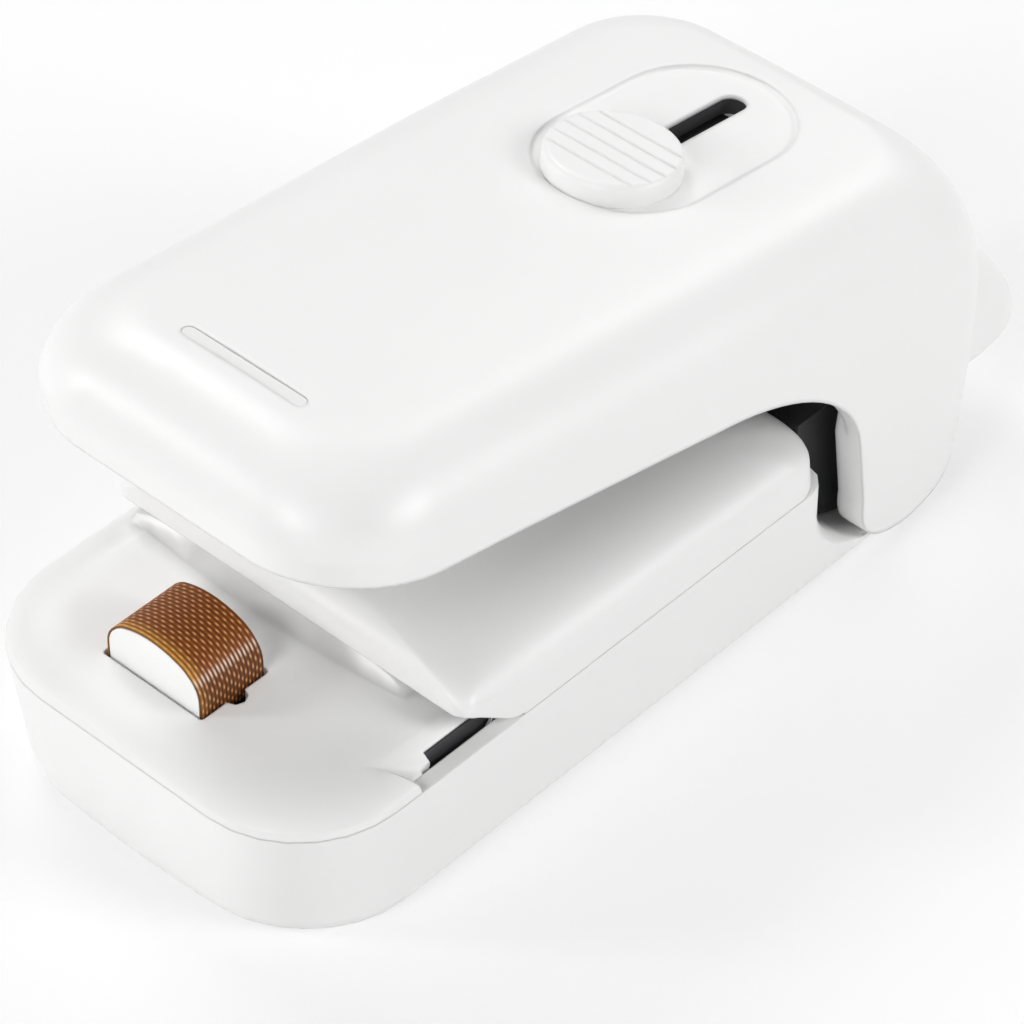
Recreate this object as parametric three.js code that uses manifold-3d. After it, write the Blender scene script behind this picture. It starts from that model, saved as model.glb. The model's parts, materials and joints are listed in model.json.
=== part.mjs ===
import * as THREE from 'three';
import { mergeVertices } from 'three/addons/utils/BufferGeometryUtils.js';
import Module from 'manifold-3d';

const wasm = await Module();
wasm.setup();

// A hand-held bag sealer with a hot jaw at the front and a film cutter at its right side.
// Lengths are in millimetres. X runs across to the right, Y from the front edge to the rear, Z up.
// The pieces are placed from the middle of the front edge. The whole is then moved to the rear,
// so that the origin lies on the table in the middle of the length.

// Fits shared by all pieces
const clearance = 0.3;
const runningGap = 0.1;
const overrun = 2;

// Counts of facets
const cornerSteps = 7;
const filletSteps = 6;
const roundSides = 16;
const knobSides = 40;
const wireSides = 6;
const straightSteps = 4;

// The two sides of the body, left and right
const sides = [-1, 1];

// Two AA cells side by side, and what holds them
const cell = {
  radius: 7.1,
  bodyLength: 49.3,
  nubLength: 1.2,
  nubRadius: 2.7,
  sideGap: 0.4,
  doorGap: 0.4,
};
const bay = { front: 26.4, wall: 1.2, wallDrop: 1.4, springRoom: 2.9 };
const contact = { thickness: 0.4, halfWidth: 6, height: 9 };
const cellSpring = { baseRadius: 4.2, tipRadius: 2.6, wire: 0.6, turns: 2.4, stepsPerTurn: 9 };
const wire = { radius: 0.5, steps: 24, cellGap: 1.4, frontLift: 0.9, endReach: 1.8 };

// The sliding door under the cells
const door = {
  frontGap: 0.6,
  rearInset: 1.8,
  lap: 0.5,
  tongue: 0.9,
  tongueBottom: 0.8,
  channelTop: 1.8,
  underGap: 0.3,
  grips: 4,
  gripStep: 2.2,
  gripWidth: 0.9,
  gripDepth: 0.3,
  gripHalfLength: 7,
  gripInset: 10.2,
};

// The lower body
const base = {
  hipDepth: 6.6,
  hipWall: 1.1,
  rearRoom: 18.2,
  cornerRadius: 12.5,
  seamHeight: 14.5,
  wall: 1.7,
  floor: 2.8,
  footInset: 1.5,
  footRound: 2.4,
  sideDraft: 0.35,
  footBow: 2.2,
  footCorner: 13,
  hipReach: 11.8,
  hipRound: 3,
  ledge: 1.3,
};

// The hinge line across the rear of the body
const hinge = {
  setback: 5.4,
  seamDrop: 4.6,
  pinRadius: 2,
  pinInset: 1.3,
  pinCover: 1.5,
  bossRadius: 3,
  openDegrees: 7,
  travelDegrees: 12.5,
};

// The dark saddle that carries the hinge, with a cheek at each hip
const saddle = {
  frontGap: 0.5,
  rearInset: 6,
  plateRear: 4.8,
  cellGap: 0.9,
  thickness: 1.3,
  wallRise: 7.2,
};

// The sealing table at the front
const deck = {
  plateau: 2.4,
  rollOff: 7,
  thickness: 1.5,
  bayGap: 0.4,
  wingGap: 0.9,
  wingEnd: 1.2,
  lipDepth: 2,
  lipWall: 1.2,
  shoulderY: 25,
};

// The ramp that the film slides up on its way to the rear
const ramp = {
  centre: -2.6,
  halfLength: 18.9,
  footY: 20.3,
  endY: 21.7,
  crestY: 22.3,
  backY: 23.6,
  height: 1.9,
  sections: 12,
  endPower: 6,
};

// The cutter pocket at the right side of the table, with its places across told from the side
const pocket = {
  innerInset: 4.4,
  frontY: 13.3,
  sideFrontY: 17.2,
  drop: 2.1,
  slotInnerInset: 2.8,
  slotOuterInset: 1.4,
  slotFrontY: 17.6,
  slotDepth: 6,
  noseInset: 1.9,
  noseRear: 18.9,
};

// The low cover over the batteries
const cover = {
  front: 21.9,
  rearGap: 0.9,
  sideLean: 0.3,
  shoulderHeight: 2.6,
  frontShoulder: 5.3,
  shoulderRun: 24,
  frontRise: 8.5,
  rearRise: 6.7,
  sideRound: 9,
  frontRound: 3.2,
  rearRound: 5,
  frontCorner: 1.8,
  rearCorner: 1.8,
  frontCornerTop: 9,
  wall: 1.5,
  lipRun: 8.1,
};

// The tail, a hollow hump between the legs of the lever
const tail = { length: 28, rise: 13.2, drop: 5.2, wall: 1.6, corner: 5.5 };

// The lever, drawn level, with the hinge line at its own origin
const lever = {
  overhang: 0.8,
  frontInset: 3.2,
  rear: 12.8,
  top: 32.2,
  legThickness: 3.4,
  tableGap: 1.5,
  legFloorRise: 1.2,
  legFloorRear: 2,
  legFront: -9.1,
  legFoot: -6.9,
  footHeight: -2.6,
  legHeel: 4,
  sideDraft: 0.2,
  rearLean: 2,
  rearBulge: 1.8,
  bulgeHeight: 16,
  frontNarrowing: 1.3,
  narrowingStart: -20,
  narrowingEnd: 12,
  topRound: 8.5,
  roundHeight: 7.5,
  crown: 1,
  frontCorner: 12.5,
  skirtCorner: 13.4,
  skirtTuck: 0.8,
  rearCorner: 11,
  legCorner: 7.2,
  wall: 1.8,
  skirtFront: 22.2,
  archStart: -31.3,
  archStartHeight: 19.1,
  archEndHeight: 6,
  rearOpening: 20,
};
const cornerShare = 0.5;
const crownShares = [0.6];

// The shallow tray and slot that the lock knob runs in, and the bar mark near the front
const tray = { front: -30.3, rear: 0.3, halfWidth: 9.6, depth: 0.9 };
const slot = { endGap: 0.7, rear: -3.2, halfWidth: 1.5 };
const mark = { inset: 10.4, halfLength: 7.9, halfWidth: 0.8, depth: 0.4 };

// The lock that holds the lever down
const knob = {
  radius: 7.05,
  trayGap: 0.25,
  height: 2.8,
  crown: 0.3,
  edge: 0.7,
  stemHalfWidth: 1.2,
  stemHalfLength: 1.7,
  travel: 14,
  grooves: 5,
  grooveStep: 1.9,
  grooveWidth: 0.35,
  grooveDepth: 0.3,
};
const hook = {
  armTop: 27.9,
  armThickness: 1.5,
  armHalfWidth: 2.2,
  armLap: 2.6,
  armReach: 16.5,
  legThickness: 2,
  tongueHeight: 18,
  tongueThickness: 1.5,
  tongueReach: 5.5,
  tongueHalfWidth: 3.5,
};
const catchBar = { depth: 2, rise: 17.8, thickness: 1.5, innerX: 4.3, postWidth: 1.6 };

// The dark frame inside the lever, with the press pad under its front
const frame = {
  top: 29.6,
  thickness: 1.4,
  sideInset: 8.3,
  frontInset: 8,
  rear: -3,
  corner: 8,
  ribInset: 4.5,
  ribWidth: 1.4,
  ribBottom: 24.6,
  ribFrontInset: 12,
  ribRearInset: 13,
};
const pad = { halfWidth: 8, setback: 0.4, depth: 11, thickness: 2.6, contactGap: 0.35, seatInset: 1 };

// The hot jaw
const heater = {
  x: -2.8,
  front: 7.1,
  depth: 8.3,
  halfWidth: 6.4,
  rise: 5.8,
  archRadius: 10.3,
  shoulder: 2.2,
  film: 0.2,
  stripThickness: 0.2,
  stripWidth: 2.8,
  grooveDepth: 0.4,
  windowGap: 0.4,
  notchRadius: 1.2,
  flangeGap: 0.4,
  flangeThickness: 2,
  flangeReach: 1.2,
  tabReach: 3.4,
  filmFootGap: 0.4,
};
const heaterSpring = {
  radius: 2.6,
  wire: 0.7,
  turns: 5,
  seatHeight: 1,
  seatRadius: 4,
  stepsPerTurn: 8,
};
const switchLeaf = { gap: 1.5, thickness: 0.4, width: 3, reach: 3, inset: 0.8 };

// The film cutter
const blade = {
  thickness: 0.35,
  setback: 8.2,
  length: 6,
  topGap: 0.4,
  noseDrop: 4.8,
  depth: 7.6,
  backLength: 2.4,
};
const bladeHolder = { thickness: 1.2, footHeight: 2.7, topDrop: 4.6, endGap: 0.6 };

// Torsion springs round the hinge bosses
const legSpring = { bossGap: 0.75, wire: 0.5, turns: 2, pitch: 0.75, stepsPerTurn: 9, tailLength: 5.5 };

// Body screws
const screw = {
  headRadius: 1.7,
  headHeight: 1.2,
  headDepth: 0.8,
  shankRadius: 0.9,
  tip: 3,
  postRadius: 2.1,
  frontInset: 7,
  frontY: 19.5,
  rearInset: 4.5,
  rearSetback: 7,
  coverPost: 4.6,
};

// Widths worked out from the cells outwards
const cellX = cell.radius + cell.sideGap;
const openingHalf = cellX + cell.radius + clearance;
const doorHalf = openingHalf + door.lap;
const tongueHalf = doorHalf + door.tongue;
const hipHalf = tongueHalf + base.hipWall;
const baseHalf = hipHalf + base.hipDepth;
const leverHalf = baseHalf + lever.overhang;
const legInner = leverHalf - lever.legThickness;
const tailHalf = legInner - clearance;
const frameHalf = leverHalf - frame.sideInset;
const pinInner = hipHalf - hinge.pinInset;
const pinOuter = leverHalf - hinge.pinCover;
const wingX = cellX + cell.radius + deck.wingGap;
const pocketInner = baseHalf - pocket.innerInset;
const slotInner = baseHalf - pocket.slotInnerInset;
const noseX = baseHalf - pocket.noseInset;
const cheekOuter = hipHalf + clearance + saddle.thickness;

// Places along the body worked out from the cells to the rear
const cellLength = cell.bodyLength + cell.nubLength;
const frontPlate = bay.front + clearance;
const frontStop = frontPlate + contact.thickness + clearance;
const rearStop = frontStop + cellLength + bay.springRoom;
const rearPlate = rearStop + clearance;
const bayRear = rearPlate + contact.thickness + clearance;
const baseLength = bayRear + base.rearRoom;
const hingeY = bayRear + hinge.setback;
const hipFront = hingeY - base.hipReach;
const saddleFront = hipFront + saddle.frontGap;
const saddleRear = baseLength - saddle.rearInset;
const saddleWallY = hingeY - saddle.plateRear;
const coverRear = saddleFront - cover.rearGap;
const tailFront = saddleWallY + saddle.thickness + clearance;
const tailRear = tailFront + tail.length;
const doorFront = bay.front + door.frontGap;
const doorRear = baseLength - door.rearInset;
const bladeFront = pocket.slotFrontY + blade.setback;
const bladeRear = bladeFront + blade.length;
const wingRear = bladeRear + deck.wingEnd;
const middleRear = bay.front - deck.bayGap;
const lipBack = cover.front + clearance;
const lipEnd = cover.front + cover.lipRun;

// Places along the lever, told from the hinge line
const leverFront = lever.frontInset - hingeY;
const knobY = tray.front + knob.radius + knob.trayGap;
const hookRear = knobY - hook.armReach;
const hookFront = hookRear - hook.legThickness;
const catchY = hingeY + hookRear + knob.travel + runningGap;
const frameFront = leverFront + frame.frontInset;
const padFront = heater.front + pad.setback - hingeY;
const padRear = padFront + pad.depth;
const slotFront = knobY - knob.stemHalfLength - slot.endGap;

// Heights
const seamTop = base.seamHeight + clearance;
const hingeHeight = seamTop - hinge.seamDrop;
const deckTop = seamTop + deck.plateau;
const lipBottom = seamTop - deck.lipDepth;
const doorTop = door.channelTop - clearance;
const cellHeight = doorTop + cell.doorGap + cell.radius;
const contactBottom = cellHeight - contact.height / 2;
const contactTop = contactBottom + contact.height;
const saddleTop = cellHeight + cell.radius + saddle.cellGap + saddle.thickness;
const saddleWallTop = saddleTop + saddle.wallRise;
const coverLip = deckTop + ramp.height + runningGap;
const catchBottom = hingeHeight + catchBar.rise;
const heaterTop = deckTop + heater.rise;
const flangeTop = deckTop - deck.thickness - heater.flangeGap;
const flangeBottom = flangeTop - heater.flangeThickness;
const crownTop = lever.top + lever.crown;
const legBottom = lever.tableGap - hingeHeight;
const legFloor = legBottom + lever.legFloorRise;

// Other places
const bladeX = baseHalf - (pocket.slotInnerInset + pocket.slotOuterInset) / 2;
const heaterCentreY = heater.front + heater.depth / 2;
const screwPlaces = [
  ['front', baseHalf - screw.frontInset, screw.frontY],
  ['rear', baseHalf - screw.rearInset, coverRear - screw.rearSetback],
];

// Turns a geometry into a solid for joining and cutting.
function solidOf(geometry) {
  const bare = geometry.clone();
  bare.deleteAttribute('normal');
  bare.deleteAttribute('uv');
  const merged = mergeVertices(bare);
  const mesh = new wasm.Mesh({
    numProp: 3,
    vertProperties: new Float32Array(merged.attributes.position.array),
    triVerts: new Uint32Array(merged.index.array),
  });
  return new wasm.Manifold(mesh);
}

// Turns a solid back into a geometry.
function geometryOf(solid) {
  const mesh = solid.getMesh();
  const geometry = new THREE.BufferGeometry();
  const stride = mesh.numProp;
  const count = mesh.vertProperties.length / stride;
  const positions = new Float32Array(count * 3);
  for (let index = 0; index < count; index += 1) {
    for (let axis = 0; axis < 3; axis += 1) {
      positions[index * 3 + axis] = mesh.vertProperties[index * stride + axis];
    }
  }
  geometry.setAttribute('position', new THREE.BufferAttribute(positions, 3));
  geometry.setIndex(new THREE.BufferAttribute(new Uint32Array(mesh.triVerts), 1));
  geometry.computeVertexNormals();
  return geometry;
}

function join(first, ...others) {
  return others.reduce((whole, other) => whole.add(other), first);
}

function cut(first, ...others) {
  return others.reduce((whole, other) => whole.subtract(other), first);
}

// A block between two corners.
function block(minX, maxX, minY, maxY, minZ, maxZ) {
  const geometry = new THREE.BoxGeometry(maxX - minX, maxY - minY, maxZ - minZ);
  geometry.translate((minX + maxX) / 2, (minY + maxY) / 2, (minZ + maxZ) / 2);
  return solidOf(geometry);
}

// A round bar along an axis.
function rod(axis, centre, radius, from, to, sides = roundSides) {
  const geometry = new THREE.CylinderGeometry(radius, radius, to - from, sides);
  if (axis === 'x') {
    geometry.rotateZ(-Math.PI / 2);
    geometry.translate((from + to) / 2, centre[0], centre[1]);
  } else if (axis === 'y') {
    geometry.translate(centre[0], (from + to) / 2, centre[1]);
  } else {
    geometry.rotateX(Math.PI / 2);
    geometry.translate(centre[0], centre[1], (from + to) / 2);
  }
  return solidOf(geometry);
}

// Extrudes a plan shape upwards.
function riser(shape, from, to, curveSegments = cornerSteps) {
  const geometry = new THREE.ExtrudeGeometry(shape, {
    depth: to - from,
    bevelEnabled: false,
    curveSegments,
  });
  geometry.translate(0, 0, from);
  return solidOf(geometry);
}

// Extrudes a side view, drawn in Y and Z, across the part.
function sideBar(shape, from, to, curveSegments = cornerSteps) {
  const geometry = new THREE.ExtrudeGeometry(shape, {
    depth: to - from,
    bevelEnabled: false,
    curveSegments,
  });
  const turn = new THREE.Matrix4().makeBasis(
    new THREE.Vector3(0, 1, 0),
    new THREE.Vector3(0, 0, 1),
    new THREE.Vector3(1, 0, 0),
  );
  geometry.applyMatrix4(turn);
  geometry.translate(from, 0, 0);
  return solidOf(geometry);
}

// Extrudes a front view, drawn in X and Z, from front to rear.
function frontBar(shape, from, to, curveSegments = cornerSteps) {
  const geometry = new THREE.ExtrudeGeometry(shape, {
    depth: to - from,
    bevelEnabled: false,
    curveSegments,
  });
  geometry.rotateX(Math.PI / 2);
  geometry.translate(0, to, 0);
  return solidOf(geometry);
}

function polygon(points) {
  return new THREE.Shape(points.map(([x, y]) => new THREE.Vector2(x, y)));
}

// A slot with round ends along Y.
function slotShape(front, rear, halfWidth) {
  const shape = new THREE.Shape();
  shape.absarc(0, rear - halfWidth, halfWidth, 0, Math.PI, false);
  shape.absarc(0, front + halfWidth, halfWidth, Math.PI, 2 * Math.PI, false);
  return shape;
}

// A plan outline with round corners, counter-clockwise from the front right corner.
// A front bow draws the front corners to the rear.
function outline({ halfWidth, front, rear, frontRadius, rearRadius, sideSteps = 1, frontBow = 0 }) {
  const corners = [
    [halfWidth - frontRadius, front + frontRadius, frontRadius, -1],
    [halfWidth - rearRadius, rear - rearRadius, rearRadius, 0],
    [rearRadius - halfWidth, rear - rearRadius, rearRadius, 1],
    [frontRadius - halfWidth, front + frontRadius, frontRadius, 2],
  ];
  const arcs = corners.map(([x, y, radius, quarter]) => {
    const points = [];
    for (let step = 0; step <= cornerSteps; step += 1) {
      const angle = (quarter + step / cornerSteps) * (Math.PI / 2);
      points.push([x + radius * Math.cos(angle), y + radius * Math.sin(angle)]);
    }
    return points;
  });
  const points = [];
  arcs.forEach((arc, index) => {
    points.push(...arc);
    const [startX, startY] = arc[arc.length - 1];
    const [endX, endY] = arcs[(index + 1) % arcs.length][0];
    for (let step = 1; step < sideSteps; step += 1) {
      const share = step / sideSteps;
      points.push([startX + (endX - startX) * share, startY + (endY - startY) * share]);
    }
  });
  return points.map(([x, y]) => {
    const nearness = Math.max(0, 1 - (y - front) / halfWidth);
    return [x, y + frontBow * nearness * (x / halfWidth) ** 2];
  });
}

// Skins a closed body over rings of points that rise along their own normal.
function loft(rings) {
  const count = rings[0].length;
  const last = rings.length - 1;
  const centres = [rings[0], rings[last]].map((ring) => {
    const middle = ring.reduce((sum, point) => sum.clone().add(point), new THREE.Vector3());
    return middle.divideScalar(count);
  });
  const points = [...rings.flat(), ...centres];
  const bottom = rings.length * count;
  const top = bottom + 1;
  const faces = [];
  for (let index = 0; index < count; index += 1) {
    const next = (index + 1) % count;
    for (let level = 0; level < last; level += 1) {
      const low = level * count + index;
      const lowNext = level * count + next;
      faces.push(low, lowNext, lowNext + count, low, lowNext + count, low + count);
    }
    faces.push(bottom, next, index);
    faces.push(top, last * count + index, last * count + next);
  }
  const geometry = new THREE.BufferGeometry().setFromPoints(points);
  geometry.setIndex(faces);
  return solidOf(geometry);
}

// A body over plan outlines, each with its height or a rule that gives the height at a point.
function stack(levels) {
  const rings = levels.map(({ plan, height }) => outline(plan).map(([x, y]) => {
    const level = typeof height === 'function' ? height(x, y) : height;
    return new THREE.Vector3(x, y, level);
  }));
  return loft(rings);
}

// A round wire along a path of points, with flat ends.
function wireAlong(points, radius) {
  const path = new THREE.CatmullRomCurve3(points, false, 'centripetal');
  const shape = new THREE.Shape();
  for (let side = 0; side < wireSides; side += 1) {
    const angle = (side / wireSides) * 2 * Math.PI;
    const point = [radius * Math.cos(angle), radius * Math.sin(angle)];
    if (side === 0) {
      shape.moveTo(...point);
    } else {
      shape.lineTo(...point);
    }
  }
  return new THREE.ExtrudeGeometry(shape, { steps: points.length - 1, extrudePath: path });
}

// The points of a coil about the Z axis, whose radius may change from end to end.
function coil({ fromRadius, toRadius, height, turns, stepsPerTurn }) {
  const steps = Math.round(turns * stepsPerTurn);
  const points = [];
  for (let step = 0; step <= steps; step += 1) {
    const share = step / steps;
    const angle = share * turns * 2 * Math.PI;
    const radius = fromRadius + (toRadius - fromRadius) * share;
    points.push(new THREE.Vector3(radius * Math.cos(angle), radius * Math.sin(angle), height * share));
  }
  return points;
}

const colours = {
  shell: { color: 0xf4f4f3, roughness: 0.42, metalness: 0 },
  dark: { color: 0x1d1d1f, roughness: 0.6, metalness: 0 },
  film: { color: 0x8f3d12, roughness: 0.45, metalness: 0 },
  ceramic: { color: 0xfafafa, roughness: 0.5, metalness: 0 },
  rubber: { color: 0xd9d6cf, roughness: 0.8, metalness: 0 },
  steel: { color: 0xb9bcc0, roughness: 0.35, metalness: 1 },
  spring: { color: 0x9a9da1, roughness: 0.3, metalness: 1 },
  cell: { color: 0x2c3a4a, roughness: 0.4, metalness: 0.2 },
  redWire: { color: 0xb3221d, roughness: 0.5, metalness: 0 },
  blackWire: { color: 0x222222, roughness: 0.5, metalness: 0 },
};

// Names a piece and gives it its own material.
function piece(name, shape, look) {
  const geometry = shape.isBufferGeometry ? shape : geometryOf(shape);
  const mesh = new THREE.Mesh(geometry, new THREE.MeshStandardMaterial({ ...colours[look] }));
  mesh.name = name;
  return mesh;
}

// The plan of the lower body, drawn in from its sides by an inset. Its front is bowed near the foot.
function basePlan(inset, footShare = 0) {
  const radius = base.cornerRadius - inset;
  const footGain = base.footCorner - base.cornerRadius;
  return {
    halfWidth: baseHalf - inset,
    front: inset,
    rear: baseLength - inset,
    frontRadius: radius + footGain * footShare,
    rearRadius: radius,
    sideSteps: straightSteps,
    frontBow: base.footBow * footShare,
  };
}

// Cuts a hip, where a leg of the lever hangs beside the body. Its front flares out to a soft edge.
function hipCutter(sign, top) {
  const ringAt = (x, flare) => {
    const reach = hingeY - hipFront + flare;
    const drop = hingeHeight - base.ledge;
    const points = [[baseLength + overrun, top], [hingeY - reach, top]];
    for (let step = 0; step <= cornerSteps; step += 1) {
      const angle = (step / cornerSteps) * (Math.PI / 2);
      points.push([hingeY - reach * Math.cos(angle), hingeHeight - drop * Math.sin(angle)]);
    }
    points.push([baseLength + overrun, base.ledge]);
    return points.map(([y, z]) => new THREE.Vector3(x, y, z));
  };
  const rings = [ringAt(hipHalf, 0)];
  for (let step = 0; step <= filletSteps / 2; step += 1) {
    const angle = (step / (filletSteps / 2)) * (Math.PI / 2);
    rings.push(ringAt(
      baseHalf - base.hipRound * (1 - Math.sin(angle)),
      base.hipRound * (1 - Math.cos(angle)),
    ));
  }
  rings.push(ringAt(baseHalf + overrun, base.hipRound));
  const cutter = loft(rings);
  return sign > 0 ? cutter : cutter.mirror([1, 0, 0]);
}

// A bore for a hinge pin at one side.
function pinBore(sign, from, to) {
  const bore = rod('x', [hingeY, hingeHeight], hinge.pinRadius + runningGap, from, to);
  return sign > 0 ? bore : bore.mirror([1, 0, 0]);
}

function baseTub() {
  const bottomLevels = [];
  for (let step = 0; step <= filletSteps / 2; step += 1) {
    const angle = (step / (filletSteps / 2)) * (Math.PI / 2);
    const height = base.footRound * (1 - Math.cos(angle));
    const inset = base.sideDraft + base.footInset * (1 - Math.sin(angle));
    bottomLevels.push({ plan: basePlan(inset, 1 - height / base.seamHeight), height });
  }
  const shell = stack([...bottomLevels, { plan: basePlan(0), height: base.seamHeight }]);
  const mouth = base.seamHeight + overrun;
  const postTop = base.seamHeight - deck.lipDepth - clearance;
  const frontRoom = {
    halfWidth: baseHalf - base.wall,
    front: base.wall,
    rear: hipFront - base.wall - base.hipRound,
    frontRadius: base.cornerRadius - base.wall,
    rearRadius: base.hipRound,
  };
  const rearRoom = {
    halfWidth: hipHalf - base.wall,
    front: bay.front,
    rear: baseLength - base.wall,
    frontRadius: base.hipRound,
    rearRadius: base.cornerRadius - base.wall,
  };
  const rooms = [
    stack([
      { plan: { ...frontRoom, front: frontRoom.front + base.footBow }, height: base.floor },
      { plan: frontRoom, height: postTop },
      { plan: frontRoom, height: mouth },
    ]),
    stack([
      { plan: rearRoom, height: base.floor },
      { plan: rearRoom, height: mouth },
    ]),
  ];
  const bayHalf = rearRoom.halfWidth + clearance;
  const walls = [bay.front - bay.wall, bayRear].map((y) => (
    block(-bayHalf, bayHalf, y, y + bay.wall, base.floor / 2, seamTop - bay.wallDrop)
  ));
  const seat = rod('z', [heater.x, heaterCentreY], heaterSpring.seatRadius, base.floor / 2,
    base.floor + heaterSpring.seatHeight);
  let tub = join(cut(shell, ...rooms), ...walls, seat);
  sides.forEach((sign) => {
    const bore = pinBore(sign, pinInner - overrun, tailHalf + overrun);
    tub = cut(tub, hipCutter(sign, mouth), bore);
    screwPlaces.forEach(([, x, y]) => {
      const post = rod('z', [sign * x, y], screw.postRadius, base.floor / 2, postTop);
      const hole = rod('z', [sign * x, y], screw.shankRadius + clearance, -overrun, mouth);
      const sink = rod('z', [sign * x, y], screw.headRadius + clearance, -overrun,
        screw.headDepth + screw.headHeight + clearance);
      tub = cut(join(tub, post), hole, sink);
    });
  });
  const end = baseLength + overrun;
  const channel = block(-doorHalf, doorHalf, doorFront, end, -overrun, door.channelTop);
  const groove = block(-tongueHalf, tongueHalf, doorFront, end, door.tongueBottom, door.channelTop);
  const opening = block(-openingHalf, openingHalf, bay.front, bayRear - bay.wall, -overrun,
    base.floor + overrun);
  return cut(tub, channel, groove, opening);
}

function heaterWindow(bottom, top) {
  const shape = outline({
    halfWidth: heater.halfWidth + heater.windowGap,
    front: heater.front - heater.windowGap,
    rear: heater.front + heater.depth + heater.windowGap,
    frontRadius: heater.windowGap,
    rearRadius: heater.windowGap,
  }).map(([x, y]) => [x + heater.x, y]);
  const notchX = heater.x + heater.halfWidth + heater.windowGap;
  return join(
    riser(polygon(shape), bottom, top),
    rod('z', [notchX, heaterCentreY], heater.notchRadius, bottom, top, roundSides / 2),
  );
}

// The ramp is a lens in plan, with its slope to the front.
function filmRamp() {
  const rings = [];
  const root = deckTop - deck.thickness / 2;
  for (let section = 0; section <= ramp.sections; section += 1) {
    const share = -Math.cos((section / ramp.sections) * Math.PI);
    const x = ramp.centre + ramp.halfLength * share;
    const fullness = Math.sqrt(1 - share ** ramp.endPower);
    const foot = ramp.endY + (ramp.footY - ramp.endY) * (1 - share ** 2);
    const crest = foot + (ramp.crestY - foot) * (1 - (1 - fullness) / 2);
    const top = deckTop - clearance + (ramp.height + clearance) * fullness;
    const outlinePoints = [
      [foot, root],
      [ramp.backY, root],
      [ramp.backY, top],
      [crest, top],
      [foot, deckTop - clearance / 2],
    ];
    rings.push(outlinePoints.map(([y, z]) => new THREE.Vector3(x, y, z)));
  }
  return loft(rings);
}

// A cutter under a sloped floor, that opens the table at its right edge.
function pocketCutter() {
  const right = baseHalf + overrun;
  const plan = polygon([
    [pocketInner, pocket.frontY],
    [right, pocket.sideFrontY],
    [right, wingRear + overrun],
    [pocketInner, wingRear + overrun],
  ]);
  const slope = pocket.drop / (noseX - pocketInner);
  const floor = polygon([
    [pocketInner, deckTop],
    [right, deckTop - slope * (right - pocketInner)],
    [right, deckTop + overrun],
    [pocketInner, deckTop + overrun],
  ]);
  return riser(plan, 0, deckTop + overrun).intersect(frontBar(floor, 0, wingRear + overrun));
}

// The holes that a pair of body screws turns into.
function screwHoles(x, y) {
  return sides.map((sign) => (
    rod('z', [sign * x, y], screw.shankRadius + runningGap, lipBottom - overrun, lipBottom + screw.tip)
  ));
}

function deckPlate() {
  const levels = [{ plan: basePlan(0), height: seamTop }];
  for (let step = 1; step <= filletSteps; step += 1) {
    const angle = (step / filletSteps) * (Math.PI / 2);
    levels.push({
      plan: basePlan(deck.rollOff * (1 - Math.cos(angle))),
      height: seamTop + deck.plateau * Math.sin(angle),
    });
  }
  const body = stack(levels);
  const lipOut = base.wall + clearance;
  const lip = stack([
    { plan: basePlan(lipOut), height: lipBottom },
    { plan: basePlan(lipOut), height: seamTop + clearance },
  ]);
  const room = stack([
    { plan: basePlan(lipOut + deck.lipWall), height: lipBottom - overrun },
    { plan: basePlan(lipOut + deck.lipWall), height: deckTop - deck.thickness },
  ]);
  const [, bossX, bossY] = screwPlaces[0];
  const bosses = sides.map((sign) => (
    rod('z', [sign * bossX, bossY], screw.postRadius, lipBottom, deckTop - deck.thickness / 2)
  ));
  const plate = join(cut(join(body, lip), room), ...bosses, filmRamp());
  const wide = baseHalf + overrun;
  const end = baseLength + overrun;
  const slotEnd = wingRear + overrun;
  const high = deckTop + ramp.height + overrun;
  const slotFloor = deckTop - pocket.slotDepth;
  const shoulder = baseHalf - cover.wall - cover.sideLean - 2 * clearance;
  const shoulderCut = block(shoulder, wide, deck.shoulderY, slotEnd, 0, high);
  return cut(
    plate,
    block(-wide, wide, wingRear, end, 0, high),
    block(-wide, wingX, middleRear, end, 0, high),
    shoulderCut,
    shoulderCut.mirror([1, 0, 0]),
    heaterWindow(0, high),
    pocketCutter(),
    block(noseX, wide, pocket.slotFrontY, slotEnd, slotFloor, high),
    block(slotInner, wide, pocket.noseRear, slotEnd, slotFloor, high),
    ...screwHoles(bossX, bossY),
  );
}

// The height of the cover's crown at a place along the body.
function crownAt(y) {
  const share = (y - cover.front) / (coverRear - cover.front);
  return seamTop + cover.frontRise + (cover.rearRise - cover.frontRise) * share;
}

// The height where the cover's side wall ends, which falls away behind the front lip.
function shoulderAt(y) {
  const share = Math.min((y - cover.front) / cover.shoulderRun, 1);
  const lift = (cover.frontShoulder - cover.shoulderHeight) * (1 - share) ** 2;
  return seamTop + cover.shoulderHeight + lift;
}

// The cover's dome, or its hollow when it is drawn in by a wall.
function coverDome(inset, bottom) {
  const planAt = (turn) => {
    const sweep = 1 - Math.cos(turn);
    return {
      halfWidth: baseHalf - cover.sideLean - inset - (cover.sideRound - inset / 2) * sweep,
      front: cover.front + inset + cover.frontRound * sweep,
      rear: coverRear - inset - cover.rearRound * sweep,
      frontRadius: cover.frontCorner - inset + (cover.frontCornerTop - cover.frontCorner) * sweep,
      rearRadius: cover.rearCorner - inset + (cover.rearRound - inset) * sweep,
      sideSteps: straightSteps,
    };
  };
  const foot = planAt(0);
  const levels = [{ plan: { ...foot, halfWidth: foot.halfWidth + cover.sideLean }, height: bottom }];
  for (let step = 0; step <= filletSteps; step += 1) {
    const turn = (step / filletSteps) * (Math.PI / 2);
    levels.push({
      plan: planAt(turn),
      height: (x, y) => shoulderAt(y) + (crownAt(y) - inset - shoulderAt(y)) * Math.sin(turn),
    });
  }
  return stack(levels);
}

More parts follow.
